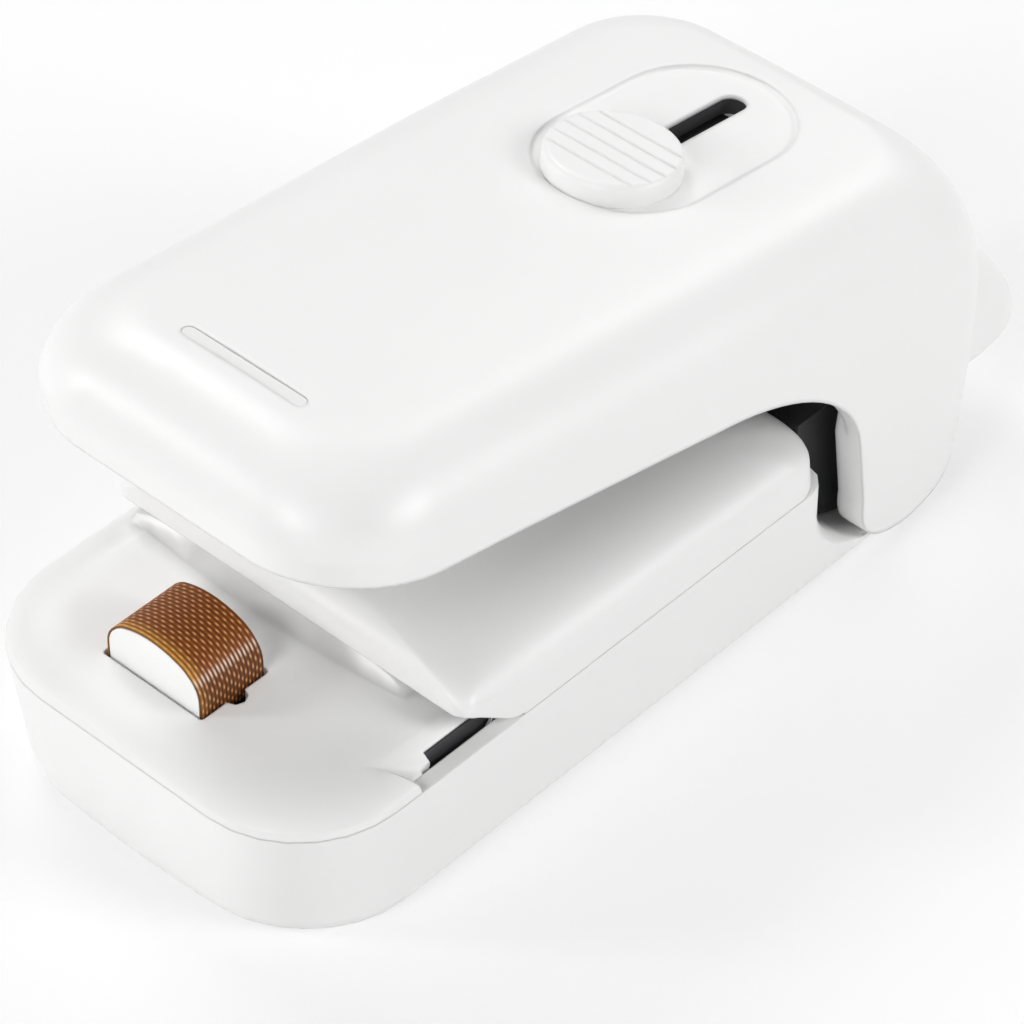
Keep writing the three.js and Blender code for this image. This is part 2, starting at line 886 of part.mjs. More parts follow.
// The hump behind the hinge, drawn in by a wall for its hollow.
function tailHump(inset) {
  const bottom = seamTop - tail.drop;
  const height = tail.rise + tail.drop;
  const heightAt = (share) => bottom + inset + (height - 2 * inset) * share;
  // Each level: share of the height, share of the length lost at the rear, at the front, and of the width
  const levelShares = [
    [0, 0.28, 0.1, 0.2],
    [0.03, 0.17, 0.04, 0.08],
    [0.09, 0.07, 0, 0.02],
    [0.2, 0, 0, 0],
    [0.35, 0.03, 0, 0],
    [0.52, 0.1, 0, 0],
    [0.7, 0.19, 0.02, 0.01],
    [0.85, 0.27, 0.06, 0.05],
    [0.95, 0.35, 0.13, 0.13],
    [1, 0.46, 0.22, 0.26],
  ];
  const length = tailRear - tailFront;
  const levels = levelShares.map(([up, rear, front, side]) => ({
    plan: {
      halfWidth: (tailHalf - inset) * (1 - side),
      front: tailFront + inset + length * front,
      rear: tailRear - inset - length * rear,
      frontRadius: tail.corner - inset,
      rearRadius: tail.corner - inset,
    },
    height: heightAt(up),
  }));
  return stack(levels);
}

// The catch that the lock hook grips, a bar on two posts.
function catchFrame() {
  const span = catchBar.innerX + catchBar.postWidth;
  const rear = catchY + catchBar.depth;
  const top = catchBottom + catchBar.thickness;
  const arch = block(-span, span, catchY, rear, crownAt(coverRear) - cover.wall / 2, top);
  const innerX = catchBar.innerX;
  const gate = block(-innerX, innerX, catchY - overrun, rear + overrun, 0, catchBottom);
  return cut(arch, gate);
}

// The side view of what is cut away under the front lip of the cover.
function lipProfile() {
  const rise = coverLip - seamTop;
  const run = lipEnd - lipBack;
  // Each curve: the control point, then the end, as shares of the run and of the rise
  const curveShares = [
    [0.14, 0.96, 0.31, 0.72],
    [0.67, 0.24, 0.67, 0.24],
    [0.83, 0, 1, 0],
  ];
  const shape = new THREE.Shape();
  shape.moveTo(0, coverLip);
  shape.lineTo(lipBack, coverLip);
  curveShares.forEach(([controlRun, controlRise, endRun, endRise]) => shape.quadraticCurveTo(
    lipBack + run * controlRun,
    seamTop + rise * controlRise,
    lipBack + run * endRun,
    seamTop + rise * endRise,
  ));
  shape.lineTo(lipEnd, 0);
  shape.lineTo(0, 0);
  return shape;
}

function midCover() {
  const wide = baseHalf + overrun;
  const [, bossX, bossY] = screwPlaces[1];
  const bosses = sides.map((sign) => (
    rod('z', [sign * bossX, bossY], screw.postRadius, lipBottom, seamTop + screw.coverPost)
  ));
  const dome = cut(coverDome(0, seamTop), coverDome(cover.wall, seamTop - overrun));
  const throatHalf = baseHalf - cover.sideLean - cover.wall;
  const throat = block(-throatHalf, throatHalf, 0, lipEnd, 0, coverLip);
  const rearGate = block(-hipHalf, hipHalf, coverRear - 2 * cover.wall,
    coverRear + overrun, 0, saddleTop - saddle.thickness);
  return cut(
    join(dome, catchFrame(), ...bosses),
    sideBar(lipProfile(), -wide, wide),
    throat,
    rearGate,
    ...screwHoles(bossX, bossY),
  );
}

// The saddle has a plate behind the cover, a wall before the tail, and cheeks with bored bosses.
function hingeSaddle() {
  const inner = hipHalf + clearance;
  const profile = new THREE.Shape();
  const low = base.ledge + clearance;
  const wallBack = saddleWallY + saddle.thickness;
  const reach = hingeY - saddleFront;
  const drop = hingeHeight - low;
  profile.moveTo(saddleRear, low);
  profile.lineTo(saddleRear, seamTop);
  profile.lineTo(wallBack, seamTop);
  profile.lineTo(wallBack, saddleWallTop);
  profile.lineTo(saddleWallY, saddleWallTop);
  profile.lineTo(saddleWallY, saddleTop);
  profile.lineTo(saddleFront, saddleTop);
  profile.absellipse(hingeY, hingeHeight, reach, drop, Math.PI, 1.5 * Math.PI, false, 0);
  const high = saddleWallTop + overrun;
  const tunnel = block(-inner, inner, saddleFront - overrun, saddleRear + overrun, 0,
    saddleTop - saddle.thickness);
  const cavity = block(-inner, inner, wallBack, saddleRear + overrun, 0, high);
  let frameBody = cut(sideBar(profile, -cheekOuter, cheekOuter), tunnel, cavity);
  sides.forEach((sign) => {
    const boss = rod('x', [hingeY, hingeHeight], hinge.bossRadius, inner, tailHalf);
    frameBody = join(frameBody, sign > 0 ? boss : boss.mirror([1, 0, 0]));
    frameBody = cut(frameBody, pinBore(sign, 0, tailHalf + overrun));
  });
  return frameBody;
}

function tailCover() {
  const wide = baseHalf + overrun;
  const roomHalf = tailHalf - tail.wall;
  const bodyEnd = baseLength + clearance;
  const openBottom = block(-roomHalf, roomHalf, tailFront + tail.wall, bodyEnd - tail.wall, 0,
    seamTop + tail.corner);
  const overBody = block(-wide, wide, 0, bodyEnd, 0, seamTop);
  return cut(tailHump(0), overBody, tailHump(tail.wall), openBottom);
}

// A band that follows the arched jaw, between two offsets in from its outside.
function archShape(offset, bottom) {
  const halfWidth = heater.halfWidth - offset;
  const top = heaterTop - offset;
  const radius = heater.archRadius - offset;
  const shoulder = heater.shoulder - offset;
  const centre = top - radius;
  const edge = centre + Math.sqrt(radius ** 2 - halfWidth ** 2);
  const reach = Math.acos((halfWidth - shoulder) / radius);
  const shape = new THREE.Shape();
  shape.moveTo(heater.x - halfWidth, bottom);
  shape.lineTo(heater.x + halfWidth, bottom);
  shape.lineTo(heater.x + halfWidth, edge - shoulder);
  shape.quadraticCurveTo(heater.x + halfWidth, edge, heater.x + radius * Math.cos(reach),
    centre + radius * Math.sin(reach));
  shape.absarc(heater.x, centre, radius, reach, Math.PI - reach, false);
  shape.quadraticCurveTo(heater.x - halfWidth, edge, heater.x - halfWidth, edge - shoulder);
  return shape;
}

function archBand(outer, inner, bottom, from, to) {
  const whole = frontBar(archShape(outer, bottom), from, to);
  return cut(whole, frontBar(archShape(inner, bottom - overrun), from - overrun, to + overrun));
}

function heaterParts() {
  const rear = heater.front + heater.depth;
  const blockOffset = heater.film + runningGap;
  const stripFront = heaterCentreY - heater.stripWidth / 2;
  const stripRear = heaterCentreY + heater.stripWidth / 2;
  const grooveOffset = blockOffset + heater.grooveDepth;
  const body = frontBar(archShape(blockOffset, flangeBottom), heater.front, rear);
  const groove = archBand(0, grooveOffset, flangeTop, stripFront - runningGap, stripRear + runningGap);
  const reach = heater.halfWidth + heater.flangeReach;
  const flange = block(
    heater.x - reach,
    heater.x + reach + heater.tabReach,
    heater.front - heater.flangeReach,
    rear + heater.flangeReach,
    flangeBottom,
    flangeTop,
  );
  const outer = blockOffset + runningGap;
  const inner = outer + heater.stripThickness;
  const strip = archBand(outer, inner, flangeTop + clearance, stripFront, stripRear);
  const filmFoot = flangeTop + heater.filmFootGap;
  return [
    piece('heater_block', join(cut(body, groove), flange), 'ceramic'),
    piece('heating_strip', strip, 'steel'),
    piece('ptfe_cover', archBand(0, heater.film, filmFoot, heater.front, rear), 'film'),
  ];
}

function heaterCoil() {
  const bottom = base.floor + heaterSpring.seatHeight + clearance + heaterSpring.wire / 2;
  const top = flangeBottom - clearance - heaterSpring.wire / 2;
  const points = coil({
    fromRadius: heaterSpring.radius,
    toRadius: heaterSpring.radius,
    height: top - bottom,
    turns: heaterSpring.turns,
    stepsPerTurn: heaterSpring.stepsPerTurn,
  });
  const geometry = wireAlong(points, heaterSpring.wire / 2);
  geometry.translate(heater.x, heaterCentreY, bottom);
  return piece('heater_spring', geometry, 'spring');
}

// A bent leaf that stands on the floor, with its free end under the tab of the jaw.
function switchContact() {
  const top = flangeBottom - switchLeaf.gap;
  const tabEnd = heater.x + heater.halfWidth + heater.flangeReach + heater.tabReach;
  const rightX = tabEnd - switchLeaf.inset;
  const leftX = rightX - switchLeaf.reach;
  const foot = base.floor + clearance;
  const shape = polygon([
    [leftX, top - switchLeaf.thickness],
    [rightX - switchLeaf.thickness, top - switchLeaf.thickness],
    [rightX - switchLeaf.thickness, foot],
    [rightX + switchLeaf.reach, foot],
    [rightX + switchLeaf.reach, foot + switchLeaf.thickness],
    [rightX, foot + switchLeaf.thickness],
    [rightX, top],
    [leftX, top],
  ]);
  const from = heaterCentreY - switchLeaf.width / 2;
  return piece('switch_leaf', frontBar(shape, from, from + switchLeaf.width), 'steel');
}

function cutterParts() {
  const left = bladeX - blade.thickness / 2;
  const shape = polygon([
    [bladeFront, deckTop - blade.depth],
    [bladeRear, deckTop - blade.depth],
    [bladeRear, deckTop - blade.topGap],
    [bladeRear - blade.backLength, deckTop - blade.topGap],
    [bladeFront, deckTop - blade.noseDrop],
  ]);
  const knife = sideBar(shape, left, left + blade.thickness);
  const holderRight = left - clearance;
  const holderLeft = holderRight - bladeHolder.thickness;
  const footRight = baseHalf - base.wall - clearance;
  const from = bladeFront + bladeHolder.endGap;
  const to = bladeRear - bladeHolder.endGap;
  const low = base.floor + clearance;
  const holder = block(holderLeft, holderRight, from, to, low, deckTop - bladeHolder.topDrop);
  const foot = block(holderLeft, footRight, from, to, low, low + bladeHolder.footHeight);
  return [
    piece('cutter_blade', knife, 'steel'),
    piece('blade_holder', join(holder, foot), 'dark'),
  ];
}

// A cell lying along Y, with its nub at the front or at the rear.
function batteryCell(x, start, nubAtFront) {
  const bodyStart = nubAtFront ? start + cell.nubLength : start;
  const nubStart = nubAtFront ? start : start + cell.bodyLength - cell.nubLength;
  const can = rod('y', [x, cellHeight], cell.radius, bodyStart, bodyStart + cell.bodyLength);
  const nub = rod('y', [x, cellHeight], cell.nubRadius, nubStart, nubStart + 2 * cell.nubLength);
  return join(can, nub);
}

// A cone-shaped contact spring along Y, with its wide end at the given place.
function contactSpring(x, wideY, direction, length) {
  const points = coil({
    fromRadius: cellSpring.baseRadius,
    toRadius: cellSpring.tipRadius,
    height: length - cellSpring.wire,
    turns: cellSpring.turns,
    stepsPerTurn: cellSpring.stepsPerTurn,
  });
  const geometry = wireAlong(points, cellSpring.wire / 2);
  geometry.rotateX(direction > 0 ? -Math.PI / 2 : Math.PI / 2);
  geometry.translate(x, wideY + direction * (cellSpring.wire / 2), cellHeight);
  return geometry;
}

function batteryParts() {
  const springLength = bay.springRoom - clearance;
  const inner = cellX - contact.halfWidth;
  const outer = cellX + contact.halfWidth;
  const plate = (from, to, y) => (
    block(from, to, y, y + contact.thickness, contactBottom, contactTop)
  );
  return [
    piece('battery_left', batteryCell(-cellX, frontStop, true), 'cell'),
    piece('battery_right', batteryCell(cellX, rearStop - cellLength, false), 'cell'),
    piece('contact_bridge', plate(-outer, outer, frontPlate), 'steel'),
    piece('contact_plate_left', plate(-outer, -inner, rearPlate), 'steel'),
    piece('contact_plate_right', plate(inner, outer, rearPlate), 'steel'),
    piece('contact_spring_left', contactSpring(-cellX, rearStop, -1, springLength), 'spring'),
    piece('contact_spring_right', contactSpring(cellX, frontStop, 1, springLength), 'spring'),
  ];
}

// The leads run from the rear contacts forward over the cells to the sides of the jaw.
function leadWire(sign) {
  const startX = cellX + contact.halfWidth - wire.radius;
  const startY = rearPlate + contact.thickness / 2;
  const ride = (cell.radius + wire.cellGap + wire.radius) * Math.SQRT1_2;
  const sideX = cellX + ride;
  const sideHeight = cellHeight + ride;
  const frontHeight = flangeBottom + wire.frontLift;
  const flangeHalf = heater.halfWidth + heater.flangeReach + (sign > 0 ? heater.tabReach : 0);
  const endX = heater.x + sign * (flangeHalf + clearance + wire.radius);
  const points = [
    [sign * startX, startY, contactTop + clearance + wire.radius],
    [sign * sideX, startY - contact.height, sideHeight],
    [sign * sideX, bay.front + contact.height, sideHeight],
    [sign * sideX, bay.front - bay.wall / 2, frontHeight],
    [endX, heater.front + heater.depth, frontHeight],
    [endX, heaterCentreY + wire.endReach, frontHeight],
  ].map((point) => new THREE.Vector3(...point));
  const path = new THREE.CatmullRomCurve3(points, false, 'centripetal');
  return wireAlong(path.getPoints(wire.steps), wire.radius);
}

function doorPanel() {
  const front = doorFront + clearance;
  const gripTop = door.underGap + door.gripDepth;
  const outer = doorHalf - clearance;
  const tongue = tongueHalf - clearance;
  const tongueBottom = door.tongueBottom + clearance;
  const shape = polygon([
    [-outer, door.underGap],
    [outer, door.underGap],
    [outer, tongueBottom],
    [tongue, tongueBottom],
    [tongue, doorTop],
    [-tongue, doorTop],
    [-tongue, tongueBottom],
    [-outer, tongueBottom],
  ]);
  let panel = frontBar(shape, front, doorRear);
  for (let grip = 0; grip < door.grips; grip += 1) {
    const y = doorRear - door.gripInset + grip * door.gripStep;
    const half = door.gripHalfLength;
    const groove = block(-half, half, y, y + door.gripWidth, -overrun, gripTop);
    panel = cut(panel, groove);
  }
  return panel;
}

function hingePin(sign) {
  const pin = rod('x', [hingeY, hingeHeight], hinge.pinRadius, pinInner, pinOuter);
  return sign > 0 ? pin : pin.mirror([1, 0, 0]);
}

// A torsion spring round the boss, with a tail up the leg and one down to the ledge.
function torsionSpring(sign) {
  const length = legSpring.turns * legSpring.pitch;
  const start = (cheekOuter + legInner - length) / 2;
  const radius = hinge.bossRadius + legSpring.bossGap + legSpring.wire / 2;
  const tailEnd = new THREE.Vector3(0, legSpring.tailLength, 0);
  const turnPoints = coil({
    fromRadius: radius,
    toRadius: radius,
    height: length,
    turns: legSpring.turns,
    stepsPerTurn: legSpring.stepsPerTurn,
  });
  const first = turnPoints[0].clone().sub(tailEnd);
  const last = turnPoints[turnPoints.length - 1].clone().add(tailEnd);
  const path = [first, ...turnPoints, last];
  const toPlace = new THREE.Matrix4().makeBasis(
    new THREE.Vector3(0, -1, 0),
    new THREE.Vector3(0, 0, sign),
    new THREE.Vector3(sign, 0, 0),
  );
  path.forEach((point) => point.applyMatrix4(toPlace));
  path.forEach((point) => point.add(new THREE.Vector3(sign * start, hingeY, hingeHeight)));
  return wireAlong(path, legSpring.wire / 2);
}

function bodyScrew(x, y) {
  const headTop = screw.headDepth + screw.headHeight;
  const head = rod('z', [x, y], screw.headRadius, screw.headDepth, headTop);
  const tip = lipBottom + screw.tip - clearance;
  const shank = rod('z', [x, y], screw.shankRadius, headTop - screw.headHeight / 2, tip);
  return join(head, shank);
}

// How far the lever's sides are drawn in at a place along it.
function narrowingAt(y) {
  const end = leverFront + lever.narrowingEnd;
  const share = (lever.narrowingStart - y) / (lever.narrowingStart - end);
  return lever.frontNarrowing * Math.min(Math.max(share, 0), 1);
}

// The rear of the lever bulges at one height, and leans forward above it.
function leverRearAt(height) {
  const crest = lever.rear + lever.rearBulge;
  if (height < lever.bulgeHeight) {
    const down = (lever.bulgeHeight - height) / (lever.bulgeHeight - legBottom);
    return crest - lever.rearBulge * down ** 2;
  }
  const up = (height - lever.bulgeHeight) / (lever.top - lever.roundHeight - lever.bulgeHeight);
  return crest - (lever.rearBulge + lever.rearLean) * up ** 2;
}

// The lever's outside, or its hollow when it is drawn in by a wall. Its top is crowned across.
function leverBody(inset, bottom) {
  const wallTop = lever.top - lever.roundHeight;
  const planAt = (height, sweep, tuck = 0) => {
    const up = (height - legBottom) / (wallTop - legBottom);
    const round = (lever.topRound - inset / 2) * sweep;
    const frontCorner = lever.frontCorner + (lever.skirtCorner - lever.frontCorner) * tuck;
    const rearCorner = lever.legCorner + (lever.rearCorner - lever.legCorner) * up;
    return {
      halfWidth: leverHalf - lever.sideDraft * up - inset - round,
      front: leverFront + inset + round + lever.skirtTuck * tuck,
      rear: leverRearAt(height) - inset - round,
      frontRadius: frontCorner - inset - round * cornerShare,
      rearRadius: rearCorner - inset - round * cornerShare,
      sideSteps: straightSteps,
    };
  };
  const ringAt = (plan, spread, heightAt) => {
    const middle = (plan.front + plan.rear) / 2;
    return outline(plan).map(([planX, planY]) => {
      const x = planX * spread;
      const y = middle + (planY - middle) * spread;
      const drawnIn = narrowingAt(y) * (x / plan.halfWidth);
      const fall = 1 - (x / leverHalf) ** 2;
      return new THREE.Vector3(x - drawnIn, y, heightAt(fall));
    });
  };
  const rings = [
    ringAt(planAt(bottom, 0, 1), 1, () => bottom),
    ringAt(planAt(lever.bulgeHeight, 0, 1), 1, () => lever.bulgeHeight),
    ringAt(planAt(lever.skirtFront, 0, 1), 1, () => lever.skirtFront),
  ];
  for (let step = 0; step <= filletSteps; step += 1) {
    const turn = (step / filletSteps) * (Math.PI / 2);
    rings.push(ringAt(planAt(wallTop, 1 - Math.cos(turn)), 1, (fall) => (
      wallTop + (lever.roundHeight + lever.crown * fall - inset) * Math.sin(turn)
    )));
  }
  const topPlan = planAt(wallTop, 1);
  crownShares.forEach((share) => {
    rings.push(ringAt(topPlan, share, (fall) => lever.top + lever.crown * fall - inset));
  });
  return loft(rings);
}

// The side view of what is cut away below the skirt, the arch and the feet of the legs.
function skirtProfile() {
  const low = legBottom - overrun;
  const archReach = lever.archStart - lever.legFront;
  const archDrop = lever.archStartHeight - lever.archEndHeight;
  const leadShares = [0.48, 0.91];
  const slope = (lever.skirtFront - lever.archStartHeight) / (leverFront - lever.archStart);
  const shape = new THREE.Shape();
  shape.moveTo(leverFront - overrun, lever.skirtFront);
  shape.lineTo(leverFront, lever.skirtFront);
  shape.lineTo(lever.archStart, lever.archStartHeight);
  shape.bezierCurveTo(
    lever.archStart - archReach * leadShares[0],
    lever.archStartHeight - archReach * leadShares[0] * slope,
    lever.archStart - archReach * leadShares[1],
    lever.archEndHeight + archDrop * (1 + leadShares[0] - leadShares[1]),
    lever.legFront,
    lever.archEndHeight,
  );
  shape.lineTo(lever.legFoot, lever.footHeight);
  shape.quadraticCurveTo(lever.legFoot, legBottom, 0, legBottom);
  shape.lineTo(lever.legFloorRear, legFloor);
  shape.quadraticCurveTo(lever.rear, legFloor, lever.rear, lever.legHeel);
  shape.lineTo(lever.rear + overrun, lever.legHeel);
  shape.lineTo(lever.rear + overrun, low);
  shape.lineTo(leverFront - overrun, low);
  return shape;
}

function leverShell() {
  const wide = leverHalf + overrun;
  const low = legBottom - overrun;
  const far = lever.rear + overrun;
  const room = leverBody(lever.wall, low);
  const high = crownTop + overrun;
  const legBack = lever.legFront - overrun;
  const skirtRoom = room.intersect(block(-wide, wide, leverFront, lever.legFront, low, high));
  const legRoom = room.intersect(block(-legInner, legInner, legBack, far, low, high));
  const rearDoor = block(-legInner, legInner, legBack, far, low, lever.rearOpening);
  const boreRadius = hinge.pinRadius + runningGap;
  const bore = rod('x', [0, 0], boreRadius, legInner - overrun, pinOuter + clearance);
  const trayShape = slotShape(tray.front, tray.rear, tray.halfWidth);
  return cut(
    leverBody(0, legBottom),
    sideBar(skirtProfile(), -wide, wide, filletSteps * 2),
    skirtRoom,
    legRoom,
    rearDoor,
    bore,
    bore.mirror([1, 0, 0]),
    riser(trayShape, crownTop - tray.depth, high, cornerSteps * 2),
    riser(slotShape(slotFront, slot.rear, slot.halfWidth), lever.top - lever.wall - overrun, high),
    markGroove(),
  );
}

// A shallow groove with round ends, which lies across the lever near its front.
function markGroove() {
  const shape = slotShape(-mark.halfLength, mark.halfLength, mark.halfWidth);
  const along = riser(shape, crownTop - mark.depth, crownTop + overrun);
  return along.rotate([0, 0, 90]).translate([0, leverFront + mark.inset, 0]);
}

function leverFrame() {
  const bottom = frame.top - frame.thickness;
  const plate = riser(polygon(outline({
    halfWidth: frameHalf,
    front: frameFront,
    rear: frame.rear,
    frontRadius: frame.corner,
    rearRadius: frame.corner,
  })), bottom, frame.top);
  const lap = frame.top - frame.thickness / 2;
  const ribX = frameHalf - frame.ribInset;
  const rib = block(
    ribX - frame.ribWidth / 2,
    ribX + frame.ribWidth / 2,
    frameFront + frame.ribFrontInset,
    frame.rear - frame.ribRearInset,
    frame.ribBottom,
    lap,
  );
  const seatHalf = pad.halfWidth - pad.seatInset;
  const seat = block(
    heater.x - seatHalf,
    heater.x + seatHalf,
    padFront + frame.corner / 2,
    padRear - pad.seatInset,
    lever.archEndHeight,
    lap,
  );
  const slotPlan = slotShape(slotFront, slot.rear, slot.halfWidth);
  const slotCut = riser(slotPlan, bottom - overrun, frame.top + overrun);
  return cut(
    join(plate, rib, rib.mirror([1, 0, 0]), seat),
    slotCut,
    padWedge(pad.thickness + clearance),
  );
}

// The height of the pad's face over the lever's own level, so that it lies flat on the closed jaw.
function padHeightAt(y, rise) {
  const lean = THREE.MathUtils.degToRad(hinge.travelDegrees - hinge.openDegrees);
  const contactHeight = heaterTop + pad.contactGap - hingeHeight;
  return (contactHeight + rise - y * Math.sin(lean)) / Math.cos(lean);
}

// Everything under a plane that lies parallel to the pad's face.
function padWedge(rise) {
  const front = leverFront;
  const rear = padRear + overrun;
  const shape = polygon([
    [front, legBottom],
    [rear, legBottom],
    [rear, padHeightAt(rear, rise)],
    [front, padHeightAt(front, rise)],
  ]);
  return sideBar(shape, -leverHalf, leverHalf);
}

function pressPad() {
  const shape = polygon([
    [padFront, padHeightAt(padFront, 0)],
    [padRear, padHeightAt(padRear, 0)],
    [padRear, padHeightAt(padRear, pad.thickness)],
    [padFront, padHeightAt(padFront, pad.thickness)],
  ]);
  return sideBar(shape, heater.x - pad.halfWidth, heater.x + pad.halfWidth);
}

function lockKnob() {
  const bottom = crownTop - tray.depth + clearance;
  const top = bottom + knob.height;
  const rim = top - knob.crown;
  const chamfer = knob.edge * (1 - Math.SQRT1_2);
  const profile = [
    [0, bottom],
    [knob.radius - knob.edge / 2, bottom],
    [knob.radius, bottom + knob.edge / 2],
    [knob.radius, rim - knob.edge],
    [knob.radius - chamfer, rim - chamfer],
    [knob.radius - knob.edge, rim],
    [knob.radius / 2, top - knob.crown / 4],
    [0, top],
  ].map(([radius, height]) => new THREE.Vector2(radius, height));
  const disc = new THREE.LatheGeometry(profile, knobSides);
  disc.rotateX(Math.PI / 2);
  disc.translate(0, knobY, 0);
  const stem = block(
    -knob.stemHalfWidth,
    knob.stemHalfWidth,
    knobY - knob.stemHalfLength,
    knobY + knob.stemHalfLength,
    hook.armTop + clearance,
    bottom + knob.height / 2,
  );
  const grooveHalf = knob.grooveWidth / 2;
  const reach = knob.radius + overrun;
  let body = join(solidOf(disc), stem);
  for (let groove = 0; groove < knob.grooves; groove += 1) {
    const y = knobY + (groove - (knob.grooves - 1) / 2) * knob.grooveStep;
    const grooveFloor = rim - knob.grooveDepth;
    body = cut(body, block(-reach, reach, y - grooveHalf, y + grooveHalf, grooveFloor, top + overrun));
  }
  return body;
}

// A J-shaped hook under the knob, with its tongue to the rear.
function lockHook() {
  const half = hook.armHalfWidth;
  const armBottom = hook.armTop - hook.armThickness;
  const tongueSide = hook.tongueHalfWidth;
  const tongueTop = hook.tongueHeight + hook.tongueThickness;
  const arm = block(-half, half, hookFront, knobY + hook.armLap, armBottom, hook.armTop);
  const leg = block(-half, half, hookFront, hookRear, hook.tongueHeight, hook.armTop);
  const tongueEnd = hookRear + hook.tongueReach;
  const tongue = block(-tongueSide, tongueSide, hookFront, tongueEnd, hook.tongueHeight, tongueTop);
  return join(arm, leg, tongue);
}

function leverGroup() {
  const group = new THREE.Group();
  group.position.set(0, hingeY, hingeHeight);
  group.rotation.x = -THREE.MathUtils.degToRad(hinge.openDegrees);
  group.add(
    piece('lever_shell', leverShell(), 'shell'),
    piece('lever_frame', leverFrame(), 'dark'),
    piece('press_pad', pressPad(), 'rubber'),
    piece('lock_knob', lockKnob(), 'shell'),
    piece('lock_hook', lockHook(), 'dark'),
  );
  return group;
}

function bodyGroup() {
  const group = new THREE.Group();
  group.add(
    piece('base_tub', baseTub(), 'shell'),
    piece('deck_plate', deckPlate(), 'shell'),
    piece('mid_cover', midCover(), 'shell'),
    piece('hinge_saddle', hingeSaddle(), 'dark'),
    piece('tail_cover', tailCover(), 'shell'),
    ...heaterParts(),
    heaterCoil(),
    switchContact(),
    ...cutterParts(),
    ...batteryParts(),
    piece('lead_wire_left', leadWire(-1), 'redWire'),
    piece('lead_wire_right', leadWire(1), 'blackWire'),
    piece('battery_door', doorPanel(), 'shell'),
  );
  sides.forEach((sign) => {
    const side = sign > 0 ? 'right' : 'left';
    group.add(piece(`hinge_pin_${side}`, hingePin(sign), 'steel'));
    group.add(piece(`hinge_spring_${side}`, torsionSpring(sign), 'spring'));
    screwPlaces.forEach(([end, x, y]) => {
      group.add(piece(`screw_${end}_${side}`, bodyScrew(sign * x, y), 'steel'));
    });
  });
  return group;
}

const bagSealer = new THREE.Group();
bagSealer.add(bodyGroup(), leverGroup());
bagSealer.position.y = -tailRear / 2;

export default bagSealer;
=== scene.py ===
"""A hand-held bag sealer on a white table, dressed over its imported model.

The scene is in metres. The sizes of the pieces are in millimetres, and MM or a frame's matrix turns them
into metres.
"""

import json
import math
from types import SimpleNamespace

import bmesh
import bpy
from mathutils import Matrix, Vector


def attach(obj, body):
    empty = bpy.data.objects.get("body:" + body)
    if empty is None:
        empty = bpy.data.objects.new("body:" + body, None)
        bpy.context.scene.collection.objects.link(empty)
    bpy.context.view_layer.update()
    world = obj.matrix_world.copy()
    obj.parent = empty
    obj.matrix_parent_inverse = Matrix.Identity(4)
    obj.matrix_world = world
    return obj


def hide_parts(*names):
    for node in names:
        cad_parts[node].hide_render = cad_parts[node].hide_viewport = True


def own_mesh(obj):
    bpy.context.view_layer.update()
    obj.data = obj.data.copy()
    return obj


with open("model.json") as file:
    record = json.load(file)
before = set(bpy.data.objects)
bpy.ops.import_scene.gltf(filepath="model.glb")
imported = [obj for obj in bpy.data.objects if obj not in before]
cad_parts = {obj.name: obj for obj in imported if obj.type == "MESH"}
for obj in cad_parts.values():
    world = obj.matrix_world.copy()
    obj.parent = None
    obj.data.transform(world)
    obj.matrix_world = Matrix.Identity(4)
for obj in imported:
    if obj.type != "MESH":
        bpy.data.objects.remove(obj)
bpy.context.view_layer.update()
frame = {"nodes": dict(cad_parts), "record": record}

MM = 0.001

# The camera, as it was solved from the photograph. The photograph's side and the focal length are in pixels.
IMAGE_SIDE = 1024
FOCAL_PIXELS = 4661.6
SENSOR_WIDTH = 36.0
CAMERA_AZIMUTH = math.radians(42.89)
CAMERA_ELEVATION = math.radians(42.81)
CAMERA_DISTANCE = 464.5 * MM
CAMERA_TARGET = Vector((4.11, -6.36, 15.0)) * MM
CAMERA_NEAR = 0.01
CAMERA_FAR = 20.0

# Light: each lamp with its place, its size in metres and its power in watts. All point at one spot inside
# the object.
WORLD_STRENGTH = 0.15
LAMPS = [
    ("left", (-0.75, 0.3, 0.9), 0.5, 4.4),
    ("front_left", (-0.72, -0.72, 0.4), 0.22, 3.0),
    ("front", (0.1, -0.86, 0.6), 0.5, 4.2),
    ("right", (0.92, 0.4, 0.55), 0.5, 6.1),
    ("rear", (-0.25, 0.9, 0.7), 0.5, 2.4),
]
LAMP_TARGET = (0, 0, 0.02)
# The floor's side in metres, and the share of it that glows for the camera
FLOOR_SIDE = 6.0
FLOOR_GLOW = 0.5

# Points nearer than the weld are joined, faces flatter than the flat angle are merged, and edges past the
# sharp angle stay crisp
WELD = 0.002 * MM
FLAT_ANGLE = math.radians(0.4)
SHARP_ANGLE = math.radians(32)
BEVEL_SAMPLES = 6

# How many steps the rounds, walls and curves have
CORNER_STEPS = 14
ROUND_STEPS = 14
SIDE_STEPS = 20
WALL_STEPS = 9
CROWN_STEPS = 10
CURVE_STEPS = 16
FILLET_STEPS = 6
TAIL_LEVELS = 30

